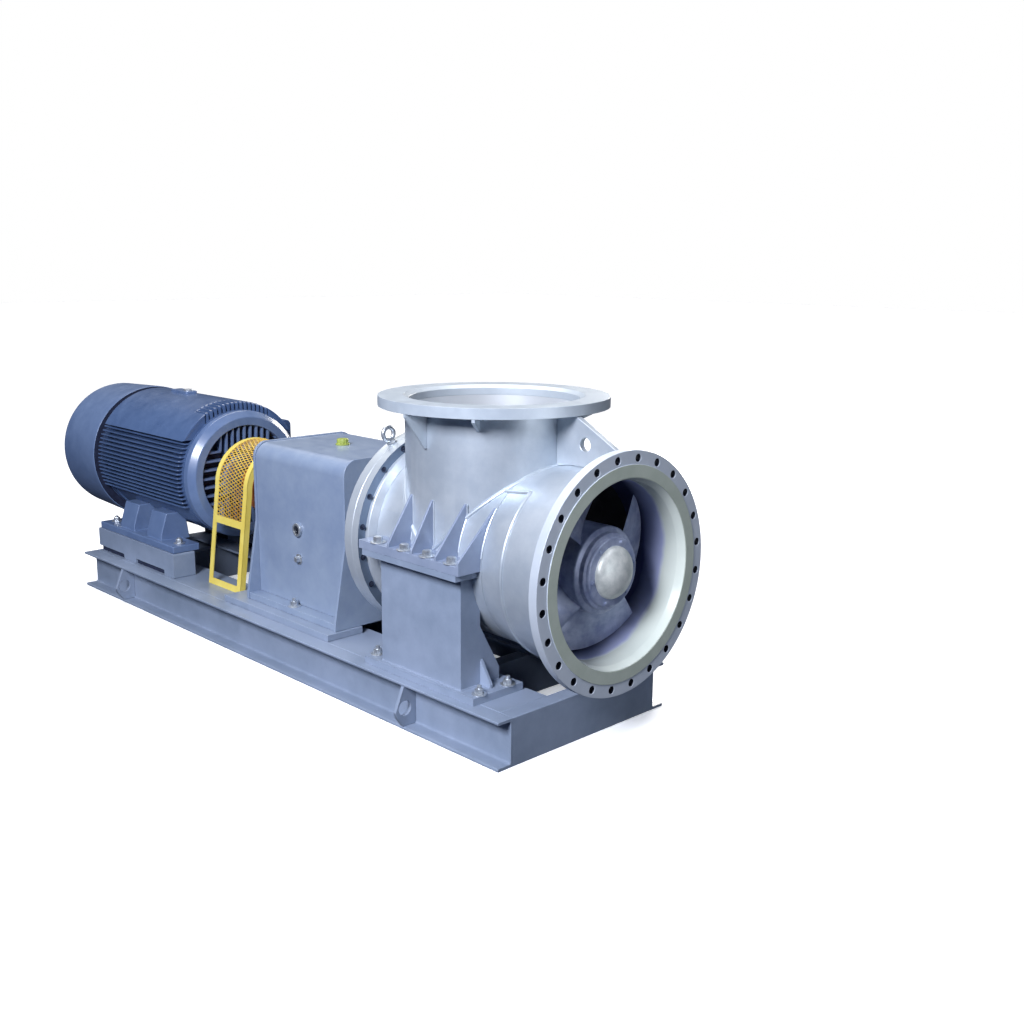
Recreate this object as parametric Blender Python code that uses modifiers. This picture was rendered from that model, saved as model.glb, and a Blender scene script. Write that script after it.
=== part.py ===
"""Horizontal elbow-type axial-flow pump set on a welded base frame.

Water enters the barrel at the +X end and leaves through the vertical discharge pipe.
The shaft runs back through the casing cover and the bearing housing to the motor.
All sizes are metres; X is along the shaft, Z is up and the ground is Z = 0.
"""

import math

import bmesh
import bpy
from mathutils import Matrix

# Main axes
SUCTION_X = 1.925
AXIS_Z = 0.664
GAP = 0.0003


def behind(distance):
    """X of the plane that lies this far behind the suction flange's face."""
    return SUCTION_X - distance


# Base frame of 185 mm channel
BASE_FRONT = behind(0.169)
BASE_REAR = behind(3.422)
BASE_HEIGHT = 0.185
BASE_HALF_WIDTH = 0.458
CHANNEL_DEPTH = 0.073
CROSS_DEPTH = 0.067
WEB = 0.010
CHANNEL_FLANGE = 0.012
WEB_Y = BASE_HALF_WIDTH - CHANNEL_DEPTH
DECK_INNER_Y = 0.146
DECK_Z = BASE_HEIGHT + GAP
CROSS_MEMBERS = {"front": 0.62, "middle": 1.64, "rear": 3.05}
LIFTING_PLATES = {"front": 0.698, "rear": 2.99}
LIFTING_PLATE = 0.016
LIFTING_REACH = 0.495
LIFTING_HOLE = (0.450, 0.085)
LIFTING_HOLE_R = 0.030

# Casing: suction barrel, mitred elbow and discharge pipe
FLANGE_R = 0.4475
RAISED_FACE_R = 0.3975
FLANGE_THICKNESS = 0.040
RAISED_FACE = 0.003
SEAT_R = 0.3503
LINER_R = 0.335
LINER_END = 0.2603
BARREL_R = 0.3635
BARREL_SHOULDER = 0.26
BARREL_END = 0.38
CASING_R = 0.345
BORE_R = 0.330
PIPE_X = behind(0.68)
PIPE_R = 0.3445
PIPE_BORE_R = 0.3295
DISCHARGE_BOTTOM = 1.209
DISCHARGE_TOP = 1.249
COVER_R = 0.41
CASING_FLANGE_FRONT = 1.02
CASING_FLANGE_REAR = 1.0595
COVER_REAR = 1.11

# Lifting lug and eye bolts
LUG_THICKNESS = 0.024
LUG_HOLE_R = 0.025
EYE_ANGLE = math.radians(26.25)
EYE_RING_R = 0.0245
EYE_WIRE_R = 0.008

# Support feet and pedestals
FOOT_Y = 0.45
FOOT_TOP = 0.697
FOOT_FRONT = 0.385
FOOT_REAR = 0.96
FOOT_RIBS = (0.389, 0.51, 0.645, 0.78)
RIB_TOP = 0.885
RIB = 0.012
PEDESTAL_Y = 0.398
PEDESTAL_INNER_Y = 0.303
PEDESTAL_FRONT = 0.43
PEDESTAL_REAR = 0.89
PLATE = 0.015
SOLE_TOP = 0.214
TOP_PLATE_BOTTOM = 0.640

# Bearing housing
HOUSING_FRONT = 1.29
HOUSING_REAR = 1.98
HOUSING_Y = 0.27
HOUSING_SHOULDER_R = 0.07
HOUSING_SHOULDER_Z = 0.865
HOUSING_FOOT_Y = 0.335
PAD_REAR = 2.10
PAD_TOP = 0.215
HOUSING_FOOT_TOP = 0.245
COVER_PLATE_R = 0.12

# Rotating parts and the bores round them
SHAFT_R = 0.045
MOTOR_SHAFT_R = 0.0475
SHAFT_CLEARANCE = 0.007
HUB_R = 0.163
NOSE_R = 0.0975
BLADES = 4
TIP_R = 0.328
COUPLING_R = 0.14
COUPLING_HUB_R = 0.085
COUPLING_FRONT = 2.10
COUPLING_JOINT = 2.25
COUPLING_REAR = 2.40

# Coupling guard
GUARD_FRONT = 2.145
GUARD_REAR = 2.43
GUARD_R = 0.215
GUARD_FOOT_Y = 0.275
GUARD_SHEET = 0.005
GUARD_BAR = 0.025

# Motor, whose casing is centred a little above the shaft's axis
MOTOR_Z = 0.684
SHIELD_FRONT = 2.48
SHIELD_R = 0.32
FRAME_FRONT = 2.545
FRAME_REAR = 3.43
COWL_REAR = 3.85
FRAME_R = 0.315
FIN_R = 0.350
CROWN_R = 0.362
CROWN_Z = 0.190
FINS = 16
FIN_LOWEST = -0.137
FIN_PITCH = 0.0208
FIN = 0.0075
COWL_R = 0.366
STAND_TOP = 0.309
STAND_Y = (0.25, 0.37)
STAND_SLOTS = ((2.70, 3.006), (3.134, 3.50))
SLOT_TOP = 0.203
MOTOR_FOOT_TOP = 0.345
MOTOR_WEBS = ((2.77, 2.92), (3.06, 3.21))

SEGMENTS = 48
SMALL_SEGMENTS = 24


def collection(name):
    group = bpy.data.collections.new(name)
    bpy.context.scene.collection.children.link(group)
    return group


def material(name, colour, roughness, metallic=0.0):
    """A Principled material; the colour is an sRGB hex value."""
    made = bpy.data.materials.new(name)
    made.use_nodes = True
    channels = [int(colour[i:i + 2], 16) / 255 for i in (0, 2, 4)]
    linear = [c / 12.92 if c <= 0.04045 else ((c + 0.055) / 1.055) ** 2.4 for c in channels]
    shader = made.node_tree.nodes["Principled BSDF"]
    shader.inputs["Base Color"].default_value = (*linear, 1.0)
    shader.inputs["Roughness"].default_value = roughness
    shader.inputs["Metallic"].default_value = metallic
    return made


def place(made, paint):
    PARTS.objects.link(made)
    made.data.materials.append(paint)
    return made


def smooth(mesh):
    mesh.shade_smooth()
    mesh.set_sharp_from_angle(angle=math.radians(30))


def as_mesh(source, name):
    """Turns a curve or a modified object into a welded mesh object in the same place."""
    bpy.context.scene.collection.objects.link(source)
    bpy.context.view_layer.update()
    evaluated = source.evaluated_get(bpy.context.evaluated_depsgraph_get())
    mesh = bpy.data.meshes.new_from_object(evaluated)
    mesh.name = name
    work = bmesh.new()
    work.from_mesh(mesh)
    bmesh.ops.remove_doubles(work, verts=work.verts, dist=0.00005)
    bmesh.ops.recalc_face_normals(work, faces=work.faces)
    work.to_mesh(mesh)
    work.free()
    mesh.materials.clear()
    position = source.matrix_world.copy()
    bpy.data.objects.remove(source)
    made = bpy.data.objects.new(name, mesh)
    made.matrix_world = position
    return made


def box(name, low, high, paint):
    """A block between two opposite corners, with its origin at its middle."""
    work = bmesh.new()
    bmesh.ops.create_cube(work, size=1.0)
    size = [abs(b - a) for a, b in zip(low, high)]
    bmesh.ops.scale(work, vec=size, verts=work.verts)
    mesh = bpy.data.meshes.new(name)
    work.to_mesh(mesh)
    work.free()
    made = bpy.data.objects.new(name, mesh)
    made.location = [(a + b) / 2 for a, b in zip(low, high)]
    return place(made, paint)


AXES = {
    "X": Matrix(((0, 0, 1), (1, 0, 0), (0, 1, 0))).to_4x4(),
    "Y": Matrix(((0, 1, 0), (0, 0, 1), (1, 0, 0))).to_4x4(),
    "Z": Matrix.Identity(4),
}


def extruded(name, outlines, axis, start, end, paint):
    """A flat outline drawn out along an axis; outlines after the first are holes.

    Points are (Y, Z) along X, (Z, X) along Y and (X, Y) along Z.
    """
    curve = bpy.data.curves.new(name, "CURVE")
    curve.dimensions = "2D"
    curve.fill_mode = "BOTH"
    curve.extrude = abs(end - start) / 2
    for outline in outlines:
        spline = curve.splines.new("POLY")
        spline.points.add(len(outline) - 1)
        for point, (u, v) in zip(spline.points, outline):
            point.co = (u, v, 0.0, 1.0)
        spline.use_cyclic_u = True
    source = bpy.data.objects.new(name, curve)
    middle = (start + end) / 2
    shift = {"X": (middle, 0, 0), "Y": (0, middle, 0), "Z": (0, 0, middle)}[axis]
    source.matrix_world = Matrix.Translation(shift) @ AXES[axis]
    return place(as_mesh(source, name), paint)


def turned(name, profile, paint, steps=SEGMENTS, axis="X", centre=(0.0, 0.0, AXIS_Z)):
    """A profile of (radius, position) turned about an axis through the centre.

    The profile runs down its outer side, from the front or top to the rear or bottom.
    """
    points = [(radius, 0.0, position) for radius, position in profile]
    edges = [(i, i + 1) for i in range(len(points) - 1)]
    if profile[0][0] > 0.0:
        edges.append((len(points) - 1, 0))
    mesh = bpy.data.meshes.new(name)
    mesh.from_pydata(points, edges, [])
    source = bpy.data.objects.new(name, mesh)
    screw = source.modifiers.new("turn", "SCREW")
    screw.steps = steps
    screw.render_steps = steps
    screw.use_merge_vertices = True
    screw.merge_threshold = 0.0001
    tilt = Matrix.Rotation(math.pi / 2, 4, "Y") if axis == "X" else Matrix.Identity(4)
    source.matrix_world = Matrix.Translation(centre) @ tilt
    made = as_mesh(source, name)
    smooth(made.data)
    return place(made, paint)


def running_bore(radius, steps):
    """Smallest many-sided bore that a many-sided shaft of this radius turns in."""
    return radius / math.cos(math.pi / steps) + GAP


def ring(name, outer, inner, front, rear, paint, steps=SEGMENTS):
    """A plain ring round the shaft axis between two distances behind the suction face."""
    profile = [
        (outer, behind(front)),
        (outer, behind(rear)),
        (inner, behind(rear)),
        (inner, behind(front)),
    ]
    return turned(name, profile, paint, steps)


def rod(name, radius, front, rear, paint, steps=SMALL_SEGMENTS):
    """A plain round bar on the shaft axis."""
    profile = [
        (0.0, behind(front)),
        (radius, behind(front)),
        (radius, behind(rear)),
        (0.0, behind(rear)),
    ]
    return turned(name, profile, paint, steps)


def stub(name, radius, start, length, paint, tilt=Matrix.Identity(4), steps=SMALL_SEGMENTS):
    """A short round bar that stands on a point, upright before the tilt."""
    work = bmesh.new()
    bmesh.ops.create_cone(
        work, cap_ends=True, segments=steps, radius1=radius, radius2=radius, depth=length
    )
    bmesh.ops.translate(work, vec=(0, 0, length / 2), verts=work.verts)
    mesh = bpy.data.meshes.new(name)
    work.to_mesh(mesh)
    work.free()
    smooth(mesh)
    made = bpy.data.objects.new(name, mesh)
    made.matrix_world = Matrix.Translation(start) @ tilt
    return place(made, paint)


def boolean(target, tool, operation):
    """Joins a tool to the target or cuts it away, and hides the tool."""
    change = target.modifiers.new(tool.name, "BOOLEAN")
    change.operation = operation
    change.object = tool
    change.solver = "EXACT"
    PARTS.objects.unlink(tool)
    TOOLS.objects.link(tool)
    tool.hide_render = True
    tool.display_type = "WIRE"


def join(target, *tools):
    for tool in tools:
        boolean(target, tool, "UNION")
    return target


def cut(target, *tools):
    for tool in tools:
        boolean(target, tool, "DIFFERENCE")
    return target


def arc(centre, radius, start, end, steps):
    """Points on an arc; the angles are degrees from the outline's first axis."""
    points = []
    for i in range(steps + 1):
        angle = math.radians(start + (end - start) * i / steps)
        points.append((centre[0] + radius * math.cos(angle), centre[1] + radius * math.sin(angle)))
    return points


def circle(centre, radius, steps=SMALL_SEGMENTS):
    return arc(centre, radius, 0, 360, steps)[:-1]


def sided(side, outline):
    """The outline, given for +Y, on the near side (-1) or the far side (+1)."""
    return [(side * u, v) for u, v in outline]


def span(side, inner, outer):
    """The lower and upper Y of a stretch given from the middle outwards."""
    return sorted((side * inner, side * outer))


for old in list(bpy.data.objects):
    bpy.data.objects.remove(old)

PARTS = collection("axial_flow_pump")
TOOLS = collection("cutters")

FRAME_PAINT = material("base frame, blue-grey enamel", "8A9BBD", 0.45)
CASING_PAINT = material("casing, silver-grey enamel", "A9B8CE", 0.35)
HOUSING_PAINT = material("housing, blue-grey enamel", "8397BC", 0.40)
MOTOR_PAINT = material("motor, slate blue enamel", "4A6390", 0.45)
GUARD_PAINT = material("guard, yellow enamel", "E2C84A", 0.45)
STEEL = material("machined steel", "B9BEC4", 0.30, 1.0)
FACE_STEEL = material("machined flange face", "8B979C", 0.40, 0.8)
LINER = material("cream white liner", "DCE5DC", 0.30)
BRONZE_GREY = material("impeller, dark grey metal", "6C7894", 0.35, 0.6)
ZINC = material("zinc plated steel", "C4C8CC", 0.30, 1.0)
CAP_GREEN = material("yellow-green plastic", "B7C34A", 0.45)
GLASS = material("gauge glass", "C9D6D8", 0.10)


# Base frame
def base_beam(side, name):
    """Side channel, open outwards, over the whole length of the frame."""
    edge = BASE_HALF_WIDTH
    lower = CHANNEL_FLANGE
    upper = BASE_HEIGHT - CHANNEL_FLANGE
    section = [
        (WEB_Y, 0),
        (edge, 0),
        (edge, lower),
        (WEB_Y + WEB, lower),
        (WEB_Y + WEB, upper),
        (edge, upper),
        (edge, BASE_HEIGHT),
        (WEB_Y, BASE_HEIGHT),
    ]
    extruded(name, [sided(side, section)], "X", BASE_REAR, BASE_FRONT, FRAME_PAINT)


def lifting_plate(side, name, distance):
    """Plate across the side channel that reaches out past its flanges, with a round hole."""
    low = CHANNEL_FLANGE + GAP
    high = BASE_HEIGHT - CHANNEL_FLANGE - GAP
    root = WEB_Y + WEB + GAP
    outline = [
        (root, low),
        (BASE_HALF_WIDTH, low),
        (LIFTING_REACH - 0.008, 0.050),
        (LIFTING_REACH, 0.075),
        (BASE_HALF_WIDTH - 0.003, high),
        (root, high),
    ]
    hole = circle(LIFTING_HOLE, LIFTING_HOLE_R, 20)
    half = LIFTING_PLATE / 2
    extruded(
        name,
        [sided(side, outline), sided(side, hole)],
        "X",
        behind(distance + half),
        behind(distance - half),
        FRAME_PAINT,
    )


def cross_channel(name, open_x, back_x, top, half_length):
    """Channel across the frame: its flanges run from its open side to the web's far face."""
    inward = 1 if back_x > open_x else -1
    web_x = back_x - inward * WEB
    section = [
        (0, open_x),
        (0, back_x),
        (top, back_x),
        (top, open_x),
        (top - CHANNEL_FLANGE, open_x),
        (top - CHANNEL_FLANGE, web_x),
        (CHANNEL_FLANGE, web_x),
        (CHANNEL_FLANGE, open_x),
    ]
    extruded(name, [section], "Y", -half_length, half_length, FRAME_PAINT)


def base_frame():
    inside = WEB_Y - GAP
    for side, word in ((-1, "near"), (1, "far")):
        base_beam(side, f"base_beam_{word}")
        for end, distance in LIFTING_PLATES.items():
            lifting_plate(side, f"lifting_plate_{end}_{word}", distance)
        low, high = span(side, DECK_INNER_Y, inside)
        rear = BASE_REAR + CROSS_DEPTH + GAP
        front = BASE_FRONT - CROSS_DEPTH - GAP
        bottom = BASE_HEIGHT - CHANNEL_FLANGE
        box(f"deck_plate_{word}", (rear, low, bottom), (front, high, BASE_HEIGHT), FRAME_PAINT)
    cross_channel("base_front_channel", BASE_FRONT - CROSS_DEPTH, BASE_FRONT, BASE_HEIGHT, inside)
    cross_channel("base_rear_channel", BASE_REAR, BASE_REAR + CROSS_DEPTH, BASE_HEIGHT, inside)
    under_deck = BASE_HEIGHT - CHANNEL_FLANGE - GAP
    for word, distance in CROSS_MEMBERS.items():
        front = behind(distance)
        cross_channel(
            f"base_cross_member_{word}", front - CROSS_DEPTH, front, under_deck, inside
        )


# Pedestals and the casing's support feet
def pedestal(side, word):
    """Fabricated box open towards the middle, on a sole plate and under a top plate."""
    name = f"pedestal_{word}"
    inner = PEDESTAL_INNER_Y
    flare = [
        (PEDESTAL_Y, SOLE_TOP - 0.010),
        (PEDESTAL_Y, TOP_PLATE_BOTTOM + 0.010),
        (inner, TOP_PLATE_BOTTOM + 0.010),
        (inner, 0.44),
        (0.205, 0.263),
        (0.205, SOLE_TOP - 0.010),
    ]
    body = extruded(
        name, [sided(side, flare)], "X", behind(PEDESTAL_REAR), behind(PEDESTAL_FRONT), FRAME_PAINT
    )
    low, high = span(side, 0.10, PEDESTAL_Y - PLATE)
    hollow = box(
        f"{name}_hollow",
        (behind(PEDESTAL_REAR - PLATE), low, 0.10),
        (behind(PEDESTAL_FRONT + PLATE), high, 0.80),
        FRAME_PAINT,
    )
    cut(body, hollow)
    low, high = span(side, 0.167, 0.418)
    sole = box(f"{name}_sole", (behind(0.98), low, DECK_Z), (behind(0.34), high, SOLE_TOP), FRAME_PAINT)
    low, high = span(side, 0.300, FOOT_Y)
    top = box(
        f"{name}_top",
        (behind(0.94), low, TOP_PLATE_BOTTOM),
        (behind(0.40), high, AXIS_Z - GAP),
        FRAME_PAINT,
    )
    join(body, sole, top)
    low, high = span(side, 0.289, 0.301)
    for end, (root, toe) in {"front": (0.435, 0.375), "rear": (0.885, 0.945)}.items():
        outline = [
            (SOLE_TOP - 0.010, behind(root)),
            (SOLE_TOP - 0.010, behind(toe)),
            (SOLE_TOP + 0.012, behind(toe)),
            (0.32, behind(root)),
        ]
        join(body, extruded(f"{name}_gusset_{end}", [outline], "Y", low, high, FRAME_PAINT))
    return cut(body, casing_envelope(f"{name}_seat", 0.0005))


def casing_envelope(name, clearance):
    """The outside of the elbow, a little enlarged, to shape what is welded on to it."""
    barrel = rod(name, CASING_R + clearance, 0.30, 1.20, CASING_PAINT, SEGMENTS)
    top = DISCHARGE_TOP
    bottom = AXIS_Z - 0.015
    profile = [
        (0.0, top),
        (PIPE_R + clearance, top),
        (PIPE_R + clearance, bottom),
        (0.0, bottom),
    ]
    pipe = turned(f"{name}_pipe", profile, CASING_PAINT, axis="Z", centre=(PIPE_X, 0, 0))
    return join(barrel, pipe)


def support_foot(side, word):
    """Horizontal plate along the casing, stiffened by ribs that rise to the shell."""
    name = f"support_foot_{word}"
    low, high = span(side, 0.30, FOOT_Y)
    foot = box(name, (behind(FOOT_REAR), low, AXIS_Z), (behind(FOOT_FRONT), high, FOOT_TOP), CASING_PAINT)
    barrel_side = math.sqrt(CASING_R ** 2 - (RIB_TOP - AXIS_Z) ** 2)
    for number, distance in enumerate(FOOT_RIBS):
        pipe_side = math.sqrt(PIPE_R ** 2 - (behind(distance) - PIPE_X) ** 2)
        rib_outline = [
            (FOOT_Y, FOOT_TOP - 0.010),
            (FOOT_Y, FOOT_TOP + 0.015),
            (max(barrel_side, pipe_side) + 0.006, RIB_TOP),
            (0.22, RIB_TOP),
            (0.22, FOOT_TOP - 0.010),
        ]
        rib = extruded(
            f"{name}_rib_{number}",
            [sided(side, rib_outline)],
            "X",
            behind(distance + RIB / 2),
            behind(distance - RIB / 2 + 0.002),
            CASING_PAINT,
        )
        join(foot, rib)
    return cut(foot, casing_envelope(f"{name}_seat", 0.0005))


# Casing
def elbow_casing():
    """Horizontal shell with its rear flange, mitred into the vertical discharge pipe."""
    front = behind(BARREL_END + GAP)
    shell = turned(
        "elbow_casing",
        [
            (0.0, front),
            (CASING_R, front),
            (CASING_R, behind(CASING_FLANGE_FRONT)),
            (COVER_R, behind(CASING_FLANGE_FRONT)),
            (COVER_R, behind(CASING_FLANGE_REAR)),
            (0.0, behind(CASING_FLANGE_REAR)),
        ],
        CASING_PAINT,
    )
    pipe_bottom = AXIS_Z - 0.015
    pipe_top = DISCHARGE_BOTTOM - GAP
    outside = [(0.0, pipe_top), (PIPE_R, pipe_top), (PIPE_R, pipe_bottom), (0.0, pipe_bottom)]
    inside = [(0.0, 1.4), (PIPE_BORE_R, 1.4), (PIPE_BORE_R, pipe_bottom), (0.0, pipe_bottom)]
    centre = (PIPE_X, 0, 0)
    join(shell, turned("elbow_pipe", outside, CASING_PAINT, axis="Z", centre=centre))
    clear = 0.0005
    seat = [
        (0.0, behind(0.20)),
        (BARREL_R + clear, behind(0.20)),
        (BARREL_R + clear, behind(BARREL_SHOULDER)),
        (CASING_R + clear, behind(BARREL_END)),
        (0.0, behind(BARREL_END)),
    ]
    cut(shell, turned("elbow_barrel_seat", seat, CASING_PAINT))
    passage = rod("elbow_bore", BORE_R, 0.30, 1.30, CASING_PAINT, SEGMENTS)
    join(passage, turned("elbow_pipe_bore", inside, CASING_PAINT, axis="Z", centre=centre))
    return cut(shell, passage)


def discharge_flange():
    """Plain ring on the discharge pipe with gussets below it."""
    profile = [
        (FLANGE_R, DISCHARGE_TOP),
        (FLANGE_R, DISCHARGE_BOTTOM),
        (PIPE_BORE_R, DISCHARGE_BOTTOM),
        (PIPE_BORE_R, DISCHARGE_TOP - 0.012),
        (0.35, DISCHARGE_TOP),
    ]
    flange = turned("discharge_flange", profile, CASING_PAINT, axis="Z", centre=(PIPE_X, 0, 0))
    depths = {-90: 1.074, 90: 1.074, -53: 1.153, 53: 1.153, 180: 1.074}
    inner = PIPE_R + 0.0005
    for angle, bottom in depths.items():
        outline = [
            (DISCHARGE_BOTTOM + 0.010, inner),
            (DISCHARGE_BOTTOM + 0.010, FLANGE_R - 0.002),
            (DISCHARGE_BOTTOM - 0.012, FLANGE_R - 0.002),
            (bottom, inner + 0.008),
            (bottom, inner),
        ]
        gusset = extruded(f"discharge_gusset_{angle}", [outline], "Y", -RIB / 2, RIB / 2, CASING_PAINT)
        turn = Matrix.Rotation(math.radians(angle), 4, "Z")
        gusset.matrix_basis = Matrix.Translation((PIPE_X, 0, 0)) @ turn @ gusset.matrix_basis
        join(flange, gusset)
    return flange


def lifting_lug():
    """Upright plate between the barrel's top and the discharge pipe, with a shackle hole."""
    barrel_top = AXIS_Z + BARREL_R + GAP
    pipe_edge = PIPE_X + PIPE_R + GAP
    outline = [
        (DISCHARGE_BOTTOM - GAP, pipe_edge),
        (DISCHARGE_BOTTOM - GAP, behind(0.242)),
        (1.102, behind(FLANGE_THICKNESS + GAP)),
        (barrel_top, behind(FLANGE_THICKNESS + GAP)),
        (barrel_top, behind(BARREL_SHOULDER)),
        (barrel_top - 0.0110, pipe_edge),
    ]
    hole = circle((1.110, behind(0.195)), LUG_HOLE_R, 16)
    half = LUG_THICKNESS / 2
    return extruded("lifting_lug", [outline, hole], "Y", -half, half, CASING_PAINT)


def suction_end():
    ring_inner = SEAT_R
    turned(
        "suction_flange",
        [
            (RAISED_FACE_R, SUCTION_X),
            (RAISED_FACE_R, behind(RAISED_FACE)),
            (FLANGE_R, behind(RAISED_FACE)),
            (FLANGE_R, behind(FLANGE_THICKNESS)),
            (ring_inner, behind(FLANGE_THICKNESS)),
            (ring_inner, SUCTION_X),
        ],
        FACE_STEEL,
    )
    turned(
        "suction_barrel",
        [
            (BARREL_R, behind(FLANGE_THICKNESS + GAP)),
            (BARREL_R, behind(BARREL_SHOULDER)),
            (CASING_R, behind(BARREL_END)),
            (BORE_R, behind(BARREL_END)),
            (LINER_R, behind(LINER_END + GAP)),
            (ring_inner, behind(LINER_END + GAP)),
            (ring_inner, behind(FLANGE_THICKNESS + GAP)),
        ],
        CASING_PAINT,
    )
    turned(
        "wear_ring",
        [
            (SEAT_R - GAP, behind(0.001)),
            (SEAT_R - GAP, behind(LINER_END)),
            (LINER_R, behind(LINER_END)),
            (LINER_R, behind(0.10)),
            (LINER_R + 0.003, behind(0.05)),
            (SEAT_R - 0.002, behind(0.001)),
        ],
        LINER,
    )


def casing_cover():
    """Rear cover with its stuffing box, the gland behind it and two eye bolts on its rim."""
    bore = SHAFT_R + SHAFT_CLEARANCE
    front = CASING_FLANGE_REAR + GAP
    turned(
        "back_cover",
        [
            (COVER_R, behind(front)),
            (COVER_R, behind(COVER_REAR)),
            (0.12, behind(COVER_REAR)),
            (0.12, behind(1.20)),
            (bore, behind(1.20)),
            (bore, behind(front)),
        ],
        CASING_PAINT,
    )
    ring("shaft_gland", 0.085, bore, 1.20 + GAP, 1.225, STEEL, SMALL_SEGMENTS)
    rim = COVER_R * math.cos(math.pi / SEGMENTS) + GAP
    middle = behind((front + COVER_REAR) / 2)
    for side, word in ((-1, "near"), (1, "far")):
        name = f"eye_bolt_{word}"
        lean = Matrix.Translation((middle, 0, AXIS_Z)) @ Matrix.Rotation(-side * EYE_ANGLE, 4, "X")
        eye = eye_ring(name, lean, rim + 0.006 + EYE_RING_R + EYE_WIRE_R)
        collar = stub(f"{name}_collar", 0.022, (0, 0, 0), 0.010, ZINC, steps=12)
        collar.matrix_basis = lean @ Matrix.Translation((0, 0, rim))
        join(eye, collar)


def eye_ring(name, frame, height):
    """Ring of round bar across the shaft's line, upright at a height in the given frame."""
    wire = circle((EYE_RING_R, 0.0), EYE_WIRE_R, 8)
    eye = turned(name, list(reversed(wire)), ZINC, steps=16, centre=(0, 0, 0))
    eye.matrix_basis = frame @ Matrix.Translation((0, 0, height)) @ eye.matrix_basis
    return eye


# Bearing housing
def housing_outline(half_width, foot_half_width, bottom, flare_top, spread):
    """Rounded top on upright sides, which may flare to a wider foot."""
    radius = HOUSING_SHOULDER_R
    right = []
    if foot_half_width > half_width:
        right += [(foot_half_width, bottom), (foot_half_width, bottom + 0.03), (half_width, flare_top)]
    else:
        right += [(half_width, bottom)]
    centre = (half_width - radius, HOUSING_SHOULDER_Z + spread)
    right += arc(centre, radius, 0, 80, 6)
    left = [(-u, v) for u, v in reversed(right)]
    return right + left


def bearing_housing():
    bore = circle((0.0, AXIS_Z), SHAFT_R + SHAFT_CLEARANCE + 0.001)
    block = housing_outline(HOUSING_Y, HOUSING_Y, HOUSING_FOOT_TOP + GAP, 0, 0)
    front = HOUSING_FRONT + PLATE + GAP
    rear = HOUSING_REAR - PLATE - GAP
    extruded("bearing_housing", [block, bore], "X", behind(rear), behind(front), HOUSING_PAINT)
    plate = housing_outline(HOUSING_Y + 0.005, HOUSING_FOOT_Y, PAD_TOP + GAP, 0.58, 0.005)
    for word, distance in (("front", HOUSING_FRONT), ("rear", HOUSING_REAR - PLATE)):
        extruded(
            f"housing_end_plate_{word}",
            [plate, bore],
            "X",
            behind(distance + PLATE),
            behind(distance),
            HOUSING_PAINT,
        )
    for side, word in ((-1, "near"), (1, "far")):
        low, high = span(side, 0.20, 0.33)
        box(
            f"housing_foot_{word}",
            (behind(rear), low, PAD_TOP + GAP),
            (behind(front), high, HOUSING_FOOT_TOP),
            HOUSING_PAINT,
        )
        low, high = span(side, 0.20, 0.383)
        box(
            f"housing_pad_{word}",
            (behind(PAD_REAR), low, DECK_Z),
            (behind(HOUSING_FRONT - 0.01), high, PAD_TOP),
            FRAME_PAINT,
        )
    inner = running_bore(SHAFT_R, SMALL_SEGMENTS)
    for word, front, rear in (
        ("front", 1.265, HOUSING_FRONT - GAP),
        ("rear", HOUSING_REAR + GAP, 2.005),
    ):
        name = f"bearing_cover_{word}"
        ring(name, COVER_PLATE_R, inner, front, rear, HOUSING_PAINT, SMALL_SEGMENTS)
    crown = HOUSING_SHOULDER_Z + HOUSING_SHOULDER_R * math.sin(math.radians(80)) + GAP
    stub("oil_filler_cap", 0.032, (behind(1.67), 0, crown), 0.028, CAP_GREEN)
    outward = Matrix.Rotation(math.pi / 2, 4, "X")
    near_wall = -HOUSING_Y - GAP
    stub("oil_level_gauge", 0.030, (behind(1.64), near_wall, 0.588), 0.018, GLASS, outward)
    stub("oil_drain_plug", 0.018, (behind(1.64), near_wall, 0.455), 0.022, ZINC, outward, 12)


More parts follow.
